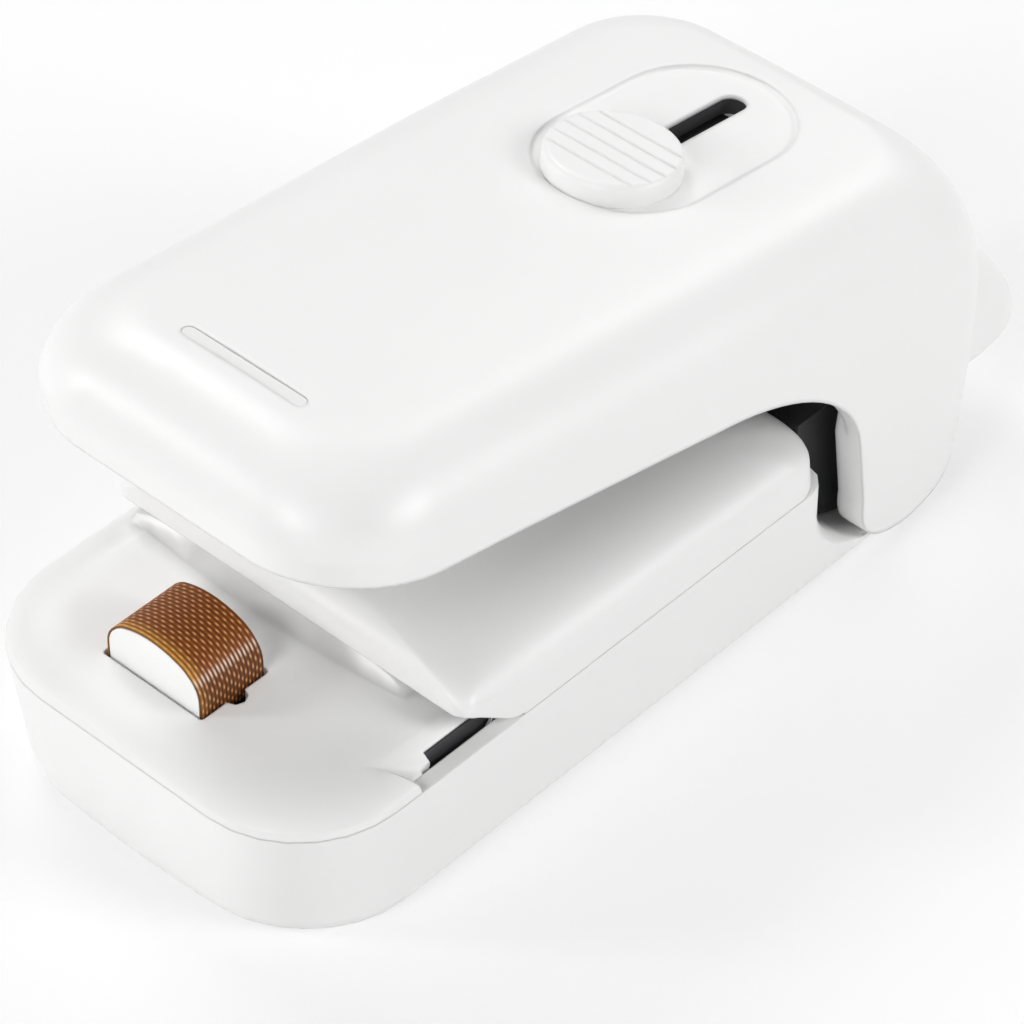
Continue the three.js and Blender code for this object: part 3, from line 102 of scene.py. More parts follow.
# The darkest and the lightest tone of each material
TONES = {
    "shell": ((0.868, 0.868, 0.863, 1), (0.892, 0.892, 0.889, 1)),
    "dark": ((0.028, 0.028, 0.03, 1), (0.05, 0.05, 0.053, 1)),
    "ceramic": ((0.9, 0.9, 0.893, 1), (0.96, 0.96, 0.957, 1)),
    "pad": ((0.68, 0.66, 0.61, 1), (0.78, 0.76, 0.72, 1)),
    "steel": ((0.5, 0.5, 0.51, 1), (0.7, 0.7, 0.71, 1)),
    "spring": ((0.42, 0.42, 0.43, 1), (0.6, 0.6, 0.61, 1)),
    "wire_red": ((0.42, 0.02, 0.015, 1), (0.55, 0.035, 0.025, 1)),
    "wire_black": ((0.012, 0.012, 0.013, 1), (0.022, 0.022, 0.024, 1)),
    "cell_metal": ((0.5, 0.5, 0.51, 1), (0.68, 0.68, 0.69, 1)),
    "cell_wrap": ((0.03, 0.045, 0.075, 1), (0.055, 0.075, 0.11, 1)),
    "cloth": ((0.24, 0.06, 0.006, 1), (0.4, 0.115, 0.012, 1)),
    "floor": ((0.97, 0.97, 0.97, 1), (0.99, 0.99, 0.99, 1)),
}
WHITE = (1, 1, 1, 1)
# Painted shade: the black of the jaw's body below its flange
SHADE_TONE = (0.012, 0.012, 0.013, 1)
CLOTH_TONES = SimpleNamespace(
    hem_glow=(0.78, 0.36, 0.06, 1), flap_shade=(0.08, 0.03, 0.012, 1), gap=(0.05, 0.012, 0.003, 1),
    dash=(0.85, 0.42, 0.17, 1), glint=(0.9, 0.72, 0.6, 1),
)

# Sizes from here on are in millimetres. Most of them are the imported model's own.
# Body sizes count from the front end, and lever sizes from the hinge along the lever.
HALF_LENGTH = 56.0
HINGE = Vector((0, 87.2, 10.2))
OPEN_ANGLE = math.radians(7)
BODY_HALF = 24.0
HIP_HALF = 17.4
# The height of the seam round the body, the model's gap there, and the thinner one that is shown
SEAM = 14.8
GAP = 0.3
SEAM_GAP = 0.06
SEAMED = ("deck_plate",)
# How far a cutter reaches past what it cuts
OVERRUN = 2.0
LEVER = SimpleNamespace(
    half_width=24.8, front=-84.0, rear=12.8, top=32.2, bottom=-8.7, sole=(6.5, -8.7), ankle=(13.2, -1.5),
    leg_inner=21.4, leg_front=-9.1, leg_foot=-6.9, foot_height=-2.6, heel=8.0,
    side_draft=0.2, rear_lean=2.0, rear_power=1.6, rear_bulge=1.8, bulge_height=16.0,
    narrowing=1.3, narrowing_start=-20.0, narrowing_end=-72.0,
    top_round=8.5, round_height=7.5, crown=0.94, corner_share=0.5,
    front_corner=12.5, skirt_corner=13.4, skirt_tuck=0.8, rear_corner=11.0, leg_corner=7.2,
    wall=1.8, skirt_front=22.2, arch_start=-31.3, arch_start_height=19.1, arch_end_height=6.0,
    arch_start_share=0.48, arch_end_share=0.91, arch_drop_share=0.57,
    rear_opening=20.0, bore=2.1, bore_end=23.6, bore_sides=32,
)
TRAY = SimpleNamespace(front=-30.3, rear=0.3, half_width=9.6, depth=0.45, fillet=0.45)
# The lock's slot, with a black ring of painted shade under its rim
SLOT = SimpleNamespace(front=-25.4, rear=-3.2, half_width=1.5, rim=0.45, relief=1.2, shade_ring_gap=0.1)
MARK = SimpleNamespace(y=-73.6, half_length=7.9, half_width=0.8, depth=0.3, inlay_depth=0.16, inlay_root=0.5,
                       gap=0.03)
KNOB = SimpleNamespace(
    y=-23.0, radius=7.05, bottom=32.6, top=35.25, edge=0.75, grooves=5, groove_step=1.9, groove_width=0.4,
    groove_depth=0.14, stem_x=1.2, stem_y=1.7, stem_bottom=28.2, sides=96,
)
COVER = SimpleNamespace(
    front=21.9, rear=75.0, side_lean=0.3, shoulder=2.6, front_shoulder=5.3, shoulder_run=24.0,
    front_rise=8.5, rear_rise=6.7, side_round=9.0, front_round=3.2, rear_round=5.0,
    front_corner=1.8, rear_corner=4.4, front_corner_top=9.0, wall=1.5,
    lip_front=22.2, lip_end=30.0, lip_top=19.2, gate_top=17.0,
)
# Each curve under the cover's lip: its control point, then its end, as shares of the run and of the rise
LIP_SHARES = [(0.14, 0.96, 0.31, 0.72), (0.67, 0.24, 0.67, 0.24), (0.83, 0, 1, 0)]
CATCH = SimpleNamespace(half_width=5.9, inner=4.3, front=61.8, rear=63.8, bottom=28.0, top=29.5)
BOSS = SimpleNamespace(x=19.5, y=68.0, bottom=12.8, top=19.4, radius=2.1, hole=1.0, hole_top=15.8, sides=24)
# The blade's black carrier; its plate runs along the slot past the blade as painted shade
HOLDER = SimpleNamespace(left=21.24, right=21.5, front=18.95, rear=33.0, bottom=3.1, top=15.7, foot=2.7,
                         foot_front=26.4, foot_rear=31.2)
TAIL = SimpleNamespace(front=84.0, rear=112.0, half_width=21.1, bottom=9.6, top=28.0, wall=1.6, corner=5.5,
                       body_end=100.3, room_top=20.3, side_steps=6)
# Each row: share of the tail's height, then the shares lost of its length at the rear, of its length at the
# front and of its width
TAIL_SHARES = [
    (0, 0.28, 0.1, 0.2), (0.03, 0.17, 0.04, 0.08), (0.09, 0.07, 0, 0.02), (0.2, 0, 0, 0),
    (0.35, 0.03, 0, 0), (0.52, 0.1, 0, 0), (0.7, 0.19, 0.02, 0.01), (0.85, 0.27, 0.06, 0.05),
    (0.95, 0.35, 0.13, 0.13), (1, 0.46, 0.22, 0.26),
]
# The screws: radii of head, shank and tip, and the half length, half width and depth of the cross in the head
SCREW = SimpleNamespace(head=1.7, head_height=1.2, edge=0.35, shank=0.9, point=1.0, tip=0.3, recess=1.1,
                        recess_half=0.22, recess_depth=0.7, sides=32)
# The cells, the cloth and the jaw's spring are placed in the scene's own frame
CELL = SimpleNamespace(x=7.5, z=9.0, radius=7.1, wrap_edge=6.0, wrap_blend=0.05, sides=48)
# Each row: the share of a cell's radius, and how many millimetres in from that end the point lies
FLAT_END_SHARES = [(0.5, 0.15), (0.62, 0), (0.88, 0), (0.95, 0.2), (1, 0.8)]
NUB_END_SHARES = [(1, 2.1), (0.98, 1.6), (0.9, 1.25), (0.84, 1.2), (0.8, 1.5), (0.46, 1.5), (0.4, 1.2),
                  (0.38, 0.3), (0.33, 0)]
# The cloth over the jaw: rows follow one another from the front, and dashes follow one another along the arch
CLOTH = SimpleNamespace(
    centre_x=-2.8, centre_z=12.7, radius=10.3, front=-48.9, row_pitch=0.48, dash_pitch=1.1, crease=6.3,
    crease_width=1.5, flap_shade_blend=0.3, hem_glow_width=3.4,
)
# Shares of a row or of a dash's pitch, and how strongly each tone is laid on
WEAVE = SimpleNamespace(
    wobble=0.3, row_wobble=0.5, stagger=0.5, thread_width=1.05, dash_length=0.72, dash_width=0.7,
    glint_width=0.8, flap_shade_tone=0.6, gap_tone=0.8, dash_tone=0.9, glint_tone=0.8,
)
# The jaw's body is painted black below this height, as painted shade in the gap under the jaw, and its spring
# stands on this spot
SHADE_TOP = 15.6
SPRING_FOOT = Vector((-2.8, -44.75, 4.1)) * MM

BODY_FRAME = Matrix.Scale(MM, 4) @ Matrix.Translation((0, -HALF_LENGTH, 0))
LEVER_FRAME = BODY_FRAME @ Matrix.Translation(HINGE) @ Matrix.Rotation(-OPEN_ANGLE, 4, "X")

body_of_node = {}
for body_name, node_names in frame["record"]["behaviour"]["bodies"].items():
    for node_name in node_names:
        body_of_node[node_name] = body_name
slot_of_node = {row["node"]: row["material_slot"] for row in frame["record"]["subparts"]}


# Shader helpers


def feed(tree, socket, value):
    """Links a socket to another, or sets its value."""
    if isinstance(value, bpy.types.NodeSocket):
        tree.links.new(value, socket)
    else:
        socket.default_value = value


def add_node(tree, kind, inputs=None, **settings):
    """One shader node. Inputs are numbers, colours or sockets to link."""
    made = tree.nodes.new(kind)
    for name, value in settings.items():
        setattr(made, name, value)
    for name, value in (inputs or {}).items():
        feed(tree, made.inputs[name], value)
    return made


def math_node(tree, operation, *values, clamp=False):
    """The outcome of one sum over numbers or sockets."""
    inputs = dict(enumerate(values))
    return add_node(tree, "ShaderNodeMath", inputs, operation=operation, use_clamp=clamp).outputs[0]


def noise(tree, place, scale, detail, stretch=None):
    """Noise over the piece's own coordinates, with features per metre, stretched by a factor on each axis."""
    if stretch:
        mapping = add_node(tree, "ShaderNodeMapping", {"Vector": place, "Scale": stretch})
        place = mapping.outputs["Vector"]
    made = add_node(tree, "ShaderNodeTexNoise", {"Vector": place, "Scale": scale, "Detail": detail})
    return made.outputs["Fac"]


def remap(tree, value, low, high, from_low=0.0, from_high=1.0):
    """A value carried from one range to another, and held inside it."""
    inputs = {"Value": value, "From Min": from_low, "From Max": from_high, "To Min": low, "To Max": high}
    return add_node(tree, "ShaderNodeMapRange", inputs).outputs["Result"]


def pulse(tree, value, centre, width):
    """One at the centre, falling to nothing at half the width to each side."""
    away = math_node(tree, "ABSOLUTE", math_node(tree, "SUBTRACT", value, centre))
    inputs = {"Value": away, "From Min": 0.0, "From Max": width / 2, "To Min": 1.0, "To Max": 0.0}
    return add_node(tree, "ShaderNodeMapRange", inputs, interpolation_type="SMOOTHSTEP").outputs["Result"]


def blend_colours(tree, share, first, second):
    """The first colour where the share is nothing, and the second where it is one."""
    made = add_node(tree, "ShaderNodeMix", data_type="RGBA")
    for socket, value in ((made.inputs[0], share), (made.inputs[6], first), (made.inputs[7], second)):
        feed(tree, socket, value)
    return made.outputs[2]


def new_material(name):
    """An empty material, its node tree and the coordinates of the piece that it lies on."""
    material = bpy.data.materials.new(name)
    material.use_nodes = True
    tree = material.node_tree
    tree.nodes.clear()
    place = add_node(tree, "ShaderNodeTexCoord").outputs["Object"]
    return material, tree, place


def finish_material(tree, sockets, height, strength, depth, bevel=0.0):
    """The surface shader, with bump from a height and edges softened over a radius."""
    shader = add_node(tree, "ShaderNodeBsdfPrincipled", sockets)
    inputs = {"Height": height, "Strength": strength, "Distance": depth}
    if bevel:
        rounded = add_node(tree, "ShaderNodeBevel", {"Radius": bevel}, samples=BEVEL_SAMPLES)
        inputs["Normal"] = rounded.outputs["Normal"]
    bump = add_node(tree, "ShaderNodeBump", inputs)
    tree.links.new(bump.outputs["Normal"], shader.inputs["Normal"])
    out = add_node(tree, "ShaderNodeOutputMaterial")
    tree.links.new(shader.outputs["BSDF"], out.inputs["Surface"])


# Materials. Every noise scale counts features per metre.


def shell_material(name, edge, tone=1.0):
    """White moulded plastic with a satin spark-eroded grain, and its edge radius."""
    material, tree, place = new_material(name)
    cloudy = noise(tree, place, scale=60.0, detail=3.0)
    grain = noise(tree, place, scale=5200.0, detail=2.0)
    low, high = ((*(part * tone for part in end[:3]), 1) for end in TONES["shell"])
    colour = blend_colours(tree, cloudy, low, high)
    patches = remap(tree, noise(tree, place, scale=240.0, detail=4.0), low=0.34, high=0.44)
    roughness = math_node(tree, "ADD", patches, remap(tree, grain, low=-0.03, high=0.03))
    sockets = {"Base Color": colour, "Roughness": roughness, "IOR": 1.5}
    finish_material(tree, sockets, grain, strength=0.12, depth=0.02 * MM, bevel=edge)
    return material


def dark_material():
    """Black moulded plastic with a matt grain, for the inner pieces. Their black also serves as painted shade
    in the pit under the lever's arch and inside the slots.
    """
    material, tree, place = new_material("dark")
    grain = noise(tree, place, scale=4200.0, detail=3.0)
    colour = blend_colours(tree, grain, *TONES["dark"])
    roughness = remap(tree, noise(tree, place, scale=500.0, detail=3.0), low=0.5, high=0.66)
    sockets = {"Base Color": colour, "Roughness": roughness}
    finish_material(tree, sockets, grain, strength=0.3, depth=0.03 * MM, bevel=0.15 * MM)
    return material


def ceramic_material():
    """A white heat-proof arch, painted black below its flange as painted shade in the gap under the jaw."""
    material, tree, place = new_material("ceramic")
    grain = noise(tree, place, scale=3600.0, detail=4.0)
    height = add_node(tree, "ShaderNodeSeparateXYZ", {"Vector": place}).outputs["Z"]
    colour = blend_colours(tree, grain, *TONES["ceramic"])
    # Painted shade: black below the flange, where the gap under the jaw lies in shade
    painted_shade = math_node(tree, "LESS_THAN", height, SHADE_TOP * MM)
    colour = blend_colours(tree, painted_shade, colour, SHADE_TONE)
    sockets = {"Base Color": colour, "Roughness": remap(tree, grain, low=0.46, high=0.6)}
    finish_material(tree, sockets, grain, strength=0.2, depth=0.02 * MM, bevel=0.12 * MM)
    return material


def pad_material():
    """Silicone rubber with a fine grain."""
    material, tree, place = new_material("pad")
    grain = noise(tree, place, scale=2600.0, detail=3.0)
    colour = blend_colours(tree, grain, *TONES["pad"])
    sockets = {"Base Color": colour, "Roughness": remap(tree, grain, low=0.62, high=0.78)}
    finish_material(tree, sockets, grain, strength=0.4, depth=0.04 * MM, bevel=0.2 * MM)
    return material


def metal_material(name, stretch, rough_low, rough_high):
    """Brushed or drawn metal, whose scratches run along one axis."""
    material, tree, place = new_material(name)
    scratches = noise(tree, place, scale=4000.0, detail=4.0, stretch=stretch)
    colour = blend_colours(tree, scratches, *TONES[name])
    roughness = remap(tree, scratches, rough_low, rough_high)
    sockets = {"Base Color": colour, "Metallic": 1.0, "Roughness": roughness}
    finish_material(tree, sockets, scratches, strength=0.25, depth=0.01 * MM, bevel=0.05 * MM)
    return material


def wire_material(name):
    """Glossy insulation with faint streaks."""
    material, tree, place = new_material(name)
    streaks = noise(tree, place, scale=900.0, detail=3.0)
    colour = blend_colours(tree, streaks, *TONES[name])
    sockets = {"Base Color": colour, "Roughness": remap(tree, streaks, low=0.26, high=0.36)}
    finish_material(tree, sockets, streaks, strength=0.1, depth=0.02 * MM)
    return material


def cell_material():
    """A dark printed wrap around each can, and bare metal at its ends."""
    material, tree, place = new_material("cell")
    across, _, up = add_node(tree, "ShaderNodeSeparateXYZ", {"Vector": place}).outputs
    aside = math_node(tree, "SUBTRACT", math_node(tree, "ABSOLUTE", across), CELL.x * MM)
    above = math_node(tree, "SUBTRACT", up, CELL.z * MM)
    aside_squared = math_node(tree, "MULTIPLY", aside, aside)
    above_squared = math_node(tree, "MULTIPLY", above, above)
    reach = math_node(tree, "SQRT", math_node(tree, "ADD", aside_squared, above_squared))
    wrap = remap(tree, reach, low=0.0, high=1.0, from_low=(CELL.wrap_edge - CELL.wrap_blend) * MM,
                 from_high=(CELL.wrap_edge + CELL.wrap_blend) * MM)
    scuffs = noise(tree, place, scale=700.0, detail=4.0)
    metal = blend_colours(tree, scuffs, *TONES["cell_metal"])
    print_tone = blend_colours(tree, scuffs, *TONES["cell_wrap"])
    colour = blend_colours(tree, wrap, metal, print_tone)
    metallic = remap(tree, wrap, low=1.0, high=0.15)
    roughness = remap(tree, scuffs, low=0.24, high=0.4)
    sockets = {"Base Color": colour, "Metallic": metallic, "Roughness": roughness}
    finish_material(tree, sockets, scuffs, strength=0.15, depth=0.01 * MM)
    return material


def cloth_places(tree, place):
    """How far round the arch and behind the front edge a spot is, in millimetres, and its share of its row
    and of its dash."""
    across, along, up = add_node(tree, "ShaderNodeSeparateXYZ", {"Vector": place}).outputs
    aside = math_node(tree, "SUBTRACT", across, CLOTH.centre_x * MM)
    above = math_node(tree, "SUBTRACT", up, CLOTH.centre_z * MM)
    arc = math_node(tree, "MULTIPLY", math_node(tree, "ARCTAN2", aside, above), CLOTH.radius)
    behind = math_node(tree, "DIVIDE", math_node(tree, "SUBTRACT", along, CLOTH.front * MM), MM)
    uneven = math_node(tree, "SUBTRACT", noise(tree, place, scale=500.0, detail=2.0), 0.5)
    wobble = math_node(tree, "MULTIPLY", uneven, WEAVE.wobble)
    row_wobble = math_node(tree, "MULTIPLY", wobble, WEAVE.row_wobble)
    row = math_node(tree, "ADD", math_node(tree, "DIVIDE", behind, CLOTH.row_pitch), row_wobble)
    stagger = math_node(tree, "MULTIPLY", math_node(tree, "FLOOR", row), WEAVE.stagger)
    step = math_node(tree, "ADD", math_node(tree, "DIVIDE", arc, CLOTH.dash_pitch), stagger)
    in_row = math_node(tree, "FRACT", row)
    in_step = math_node(tree, "FRACT", math_node(tree, "ADD", step, wobble))
    return arc, behind, in_row, in_step


def film_material():
    """Brown coated glass cloth: rows of light dashes between dark lines, laid over the arch of the jaw."""
    material, tree, place = new_material("film")
    arc, behind, in_row, in_step = cloth_places(tree, place)
    thread = pulse(tree, in_row, centre=0.5, width=WEAVE.thread_width)
    dash_along = pulse(tree, in_step, centre=0.5, width=WEAVE.dash_length)
    dash_across = pulse(tree, in_row, centre=0.5, width=WEAVE.dash_width)
    dash = math_node(tree, "MULTIPLY", dash_along, dash_across)
    crease = pulse(tree, arc, CLOTH.crease, CLOTH.crease_width)
    # Painted shade: the cloth's side below the crease is darkened
    flap_shade = remap(tree, arc, low=0.0, high=1.0, from_low=CLOTH.crease - CLOTH.flap_shade_blend,
                 from_high=CLOTH.crease + CLOTH.flap_shade_blend)
    # Painted glow: a lighter orange band along the front edge, where light shines through the thin cloth
    hem_glow = pulse(tree, behind, centre=0.0, width=CLOTH.hem_glow_width)
    gap = math_node(tree, "SUBTRACT", 1.0, thread)
    # Painted highlight with wear: whitish glints on the threads along the crease, where light catches them
    # and their coating is worn
    glint = math_node(tree, "MULTIPLY", crease, pulse(tree, in_row, centre=0.5, width=WEAVE.glint_width))
    stain = noise(tree, place, scale=260.0, detail=3.0)
    colour = blend_colours(tree, stain, *TONES["cloth"])
    colour = blend_colours(tree, hem_glow, colour, CLOTH_TONES.hem_glow)
    layers = [
        (flap_shade, WEAVE.flap_shade_tone, CLOTH_TONES.flap_shade), (gap, WEAVE.gap_tone, CLOTH_TONES.gap),
        (dash, WEAVE.dash_tone, CLOTH_TONES.dash), (glint, WEAVE.glint_tone, CLOTH_TONES.glint),
    ]
    for layer, weight, tone in layers:
        colour = blend_colours(tree, math_node(tree, "MULTIPLY", layer, weight), colour, tone)
    height = math_node(tree, "ADD", thread, dash)
    roughness = remap(tree, dash, low=0.6, high=0.45)
    sockets = {"Base Color": colour, "Roughness": roughness, "Specular IOR Level": 0.3}
    finish_material(tree, sockets, height, strength=0.4, depth=0.05 * MM)
    return material


materials = {
    "shell": shell_material("shell", edge=0.3 * MM),
    "shell_soft": shell_material("shell_soft", edge=0.8 * MM),
    # Painted shade: a slightly greyer white for the bar in the mark's groove
    "shell_shade": shell_material("shell_shade", edge=0.2 * MM, tone=0.94),
    "dark": dark_material(),
    "ceramic": ceramic_material(),
    "pad": pad_material(),
    "steel": metal_material("steel", stretch=(0.08, 1.0, 1.0), rough_low=0.24, rough_high=0.4),
    "spring": metal_material("spring", stretch=(1.0, 1.0, 0.3), rough_low=0.2, rough_high=0.34),
    "wire_red": wire_material("wire_red"),
    "wire_black": wire_material("wire_black"),
    "film": film_material(),
    "cell": cell_material(),
}


# Solids for pieces that are modelled again with finer rounds. Their lengths are in millimetres.


def new_object(name, vertices, faces):
    """A mesh object in the scene, with its faces turned outward."""
    mesh = bpy.data.meshes.new(name)
    mesh.from_pydata([tuple(vertex) for vertex in vertices], [], faces)
    work = bmesh.new()
    work.from_mesh(mesh)
    bmesh.ops.recalc_face_normals(work, faces=work.faces)
    work.to_mesh(mesh)
    work.free()
    made = bpy.data.objects.new(name, mesh)
    bpy.context.scene.collection.objects.link(made)
    return made


def loft(name, rings):
    """A closed body over rings of points."""
    count = len(rings[0])
    vertices = [point for ring in rings for point in ring]
    faces = []
    for level in range(len(rings) - 1):
        for index in range(count):
            low = level * count + index
            low_next = level * count + (index + 1) % count
            faces.append((low, low_next, low_next + count, low + count))
    top = (len(rings) - 1) * count
    faces.append(tuple(range(count - 1, -1, -1)))
    faces.append(tuple(range(top, top + count)))
    return new_object(name, vertices, faces)


def prism(axis, profile, start, end):
    """A flat profile, pushed along X or Z. The profile holds the other two coordinates in turn."""
    def spot(first, second, along):
        return (along, first, second) if axis == "x" else (first, second, along)

    rings = [[spot(first, second, along) for first, second in profile] for along in (start, end)]
    return loft("prism", rings)


def block(min_x, max_x, min_y, max_y, min_z, max_z):
    """A box between two places on each axis."""
    profile = [(min_x, min_y), (max_x, min_y), (max_x, max_y), (min_x, max_y)]
    return prism("z", profile, min_z, max_z)


def circle(centre, radius, sides):
    """Points round a centre, counter-clockwise."""
    turns = [index / sides * math.tau for index in range(sides)]
    return [(centre[0] + radius * math.cos(turn), centre[1] + radius * math.sin(turn)) for turn in turns]


def stadium(front, rear, half_width, steps):
    """A slot with round ends along Y, counter-clockwise."""
    turns = [step / steps * math.pi for step in range(steps + 1)]
    rear_end = [(half_width * math.cos(t), rear - half_width + half_width * math.sin(t)) for t in turns]
    front_end = [(-half_width * math.cos(t), front + half_width - half_width * math.sin(t)) for t in turns]
    return rear_end + front_end


def weigh(weights, points):
    """A flat point between others, by their weights."""
    return tuple(sum(weight * point[axis] for weight, point in zip(weights, points)) for axis in (0, 1))


def quadratic(start, control, end, steps):
    """The points after its start of a curve with one control point."""
    points = []
    for step in range(1, steps + 1):
        t = step / steps
        weights = ((1 - t) ** 2, 2 * t * (1 - t), t * t)
        points.append(weigh(weights, (start, control, end)))
    return points


def cubic(start, leaving, arriving, end, steps):
    """The points after its start of a curve with two control points."""
    points = []
    for step in range(1, steps + 1):
        t = step / steps
        weights = ((1 - t) ** 3, 3 * t * (1 - t) ** 2, 3 * t * t * (1 - t), t ** 3)
        points.append(weigh(weights, (start, leaving, arriving, end)))
    return points


def carve(body, cutter, operation="DIFFERENCE"):
    """Cuts, joins or crosses a body with another solid, which is used up."""
    modifier = body.modifiers.new("carve", "BOOLEAN")
    modifier.operation = operation
    modifier.solver = "EXACT"
    modifier.object = cutter
    graph = bpy.context.evaluated_depsgraph_get()
    result = bpy.data.meshes.new_from_object(body.evaluated_get(graph))
    body.modifiers.clear()
    body.data = result
    bpy.data.objects.remove(cutter)
    return body


def outline(half_width, front, rear, front_radius, rear_radius, corner_steps, side_steps):
    """A plan with round corners, counter-clockwise from the front right corner."""
    corners = (
        (half_width - front_radius, front + front_radius, front_radius, -1),
        (half_width - rear_radius, rear - rear_radius, rear_radius, 0),
        (rear_radius - half_width, rear - rear_radius, rear_radius, 1),
        (front_radius - half_width, front + front_radius, front_radius, 2),
    )
    arcs = []
    for x, y, radius, quarter in corners:
        turns = [(quarter + step / corner_steps) * math.pi / 2 for step in range(corner_steps + 1)]
        arcs.append([(x + radius * math.cos(turn), y + radius * math.sin(turn)) for turn in turns])
    points = []
    for index, arc in enumerate(arcs):
        points += arc
        start, end = arc[-1], arcs[(index + 1) % len(arcs)][0]
        for step in range(1, side_steps):
            share = step / side_steps
            points.append(tuple(a + (b - a) * share for a, b in zip(start, end)))
    return points


def lever_narrowing(y):
    """How far each side of the lever comes in at a place along it."""
    share = (LEVER.narrowing_start - y) / (LEVER.narrowing_start - LEVER.narrowing_end)
    share = min(max(share, 0), 1)
    return LEVER.narrowing * share * share * (3 - 2 * share)


def lever_rear(height):
    """Where the lever ends at the rear, at a height."""
    crest = LEVER.rear + LEVER.rear_bulge
    if height < LEVER.bulge_height:
        down = (LEVER.bulge_height - height) / (LEVER.bulge_height - LEVER.bottom)
        return crest - LEVER.rear_bulge * down ** 2
    up = min((height - LEVER.bulge_height) / (LEVER.top - LEVER.bulge_height), 1)
    depth = LEVER.rear_bulge + LEVER.rear_lean + LEVER.top_round
    return crest - depth * (1 - (1 - up ** LEVER.rear_power) ** (1 / LEVER.rear_power))


def lever_body(inset, corner_steps, round_steps):
    """The lever's outside, or its hollow when it is drawn in by a wall."""
    wall_top = LEVER.top - LEVER.round_height

    def ring_at(level, turn, spread=1.0):
        sweep = 1 - math.cos(turn)
        tuck = min(max((wall_top - level) / (wall_top - LEVER.skirt_front), 0), 1)
        up = (level - LEVER.bottom) / (wall_top - LEVER.bottom)
        drawn = (LEVER.top_round - inset / 2) * sweep
        front_corner = LEVER.front_corner + (LEVER.skirt_corner - LEVER.front_corner) * tuck
        rear_corner = LEVER.leg_corner + (LEVER.rear_corner - LEVER.leg_corner) * up
        half_width = LEVER.half_width - LEVER.side_draft * up - inset - drawn
        front = LEVER.front + inset + drawn + LEVER.skirt_tuck * tuck
        rear = lever_rear(level + LEVER.round_height * math.sin(turn)) - inset
        plan = outline(half_width, front, rear, front_corner - inset - drawn * LEVER.corner_share,
                       rear_corner - inset - drawn * LEVER.corner_share, corner_steps, SIDE_STEPS)
        middle = (front + rear) / 2
        ring = []
        for plan_x, plan_y in plan:
            x = plan_x * spread
            y = middle + (plan_y - middle) * spread
            fall = 1 - (x / LEVER.half_width) ** 2
            rise = (LEVER.round_height + LEVER.crown * fall - inset) * math.sin(turn)
            ring.append((x - lever_narrowing(y) * x / half_width, y, level + rise))
        return ring

    wall_levels = [LEVER.bottom + (wall_top - LEVER.bottom) * step / WALL_STEPS for step in range(WALL_STEPS)]
    rings = [ring_at(level, 0) for level in wall_levels]
    rings += [ring_at(wall_top, step / round_steps * math.pi / 2) for step in range(round_steps + 1)]
    rings += [ring_at(wall_top, math.pi / 2, 1 - step / CROWN_STEPS) for step in range(1, CROWN_STEPS)]
    return loft("lever_shell_skin", rings)


def skirt_cutter():
    """Everything below the skirt, the arch and the feet of the legs, as a side view."""
    low = LEVER.bottom - OVERRUN
    ahead = LEVER.front - OVERRUN
    behind = LEVER.rear + LEVER.rear_bulge + OVERRUN
    reach = LEVER.arch_start - LEVER.leg_front
    drop = LEVER.arch_start_height - LEVER.arch_end_height
    slope = (LEVER.skirt_front - LEVER.arch_start_height) / (LEVER.front - LEVER.arch_start)
    start = (LEVER.arch_start, LEVER.arch_start_height)
    end = (LEVER.leg_front, LEVER.arch_end_height)
    foot = (LEVER.leg_foot, LEVER.foot_height)
    toe = (0, LEVER.bottom)
    heel = (LEVER.rear + LEVER.rear_bulge, LEVER.heel)
    points = [(ahead, LEVER.skirt_front), (LEVER.front, LEVER.skirt_front), start]
    lead = reach * LEVER.arch_start_share
    leaving = (LEVER.arch_start - lead, LEVER.arch_start_height - lead * slope)
    arriving = (LEVER.arch_start - reach * LEVER.arch_end_share,
                LEVER.arch_end_height + drop * LEVER.arch_drop_share)
    points += cubic(start, leaving, arriving, end, CURVE_STEPS)
    points.append(foot)
    points += quadratic(foot, (LEVER.leg_foot, LEVER.bottom), toe, CURVE_STEPS)
    points += cubic(toe, LEVER.sole, LEVER.ankle, heel, CURVE_STEPS)
    points += [(behind, LEVER.heel), (behind, low), (ahead, low)]
    wide = LEVER.half_width + OVERRUN
    return prism("x", points, -wide, wide)


def tray_cutter():
    """A shallow tray with a soft edge at its top and its floor."""
    high = LEVER.top + LEVER.crown
    floor = high - TRAY.depth
    rings = []
    for step in range(FILLET_STEPS + 1):
        turn = step / FILLET_STEPS * math.pi / 2
        spread = TRAY.fillet * (math.sin(turn) - 1)
        level = floor + TRAY.fillet * (1 - math.cos(turn))
        rings.append((spread, level))
    rings.append((0, high + OVERRUN))
    return loft("cutter", [
        [(x, y, level) for x, y in stadium(TRAY.front - spread, TRAY.rear + spread, TRAY.half_width + spread,
                                           CURVE_STEPS)]
        for spread, level in rings
    ])


def slot_plan(spread):
    """The plan of the lock's slot, spread outward."""
    return stadium(SLOT.front - spread, SLOT.rear + spread, SLOT.half_width + spread, CURVE_STEPS)


def mark_plan(inset):
    """The plan of the bar mark, which lies across the lever."""
    along = stadium(-MARK.half_length + inset, MARK.half_length - inset, MARK.half_width - inset, CURVE_STEPS)
    return [(y, x + MARK.y) for x, y in along]


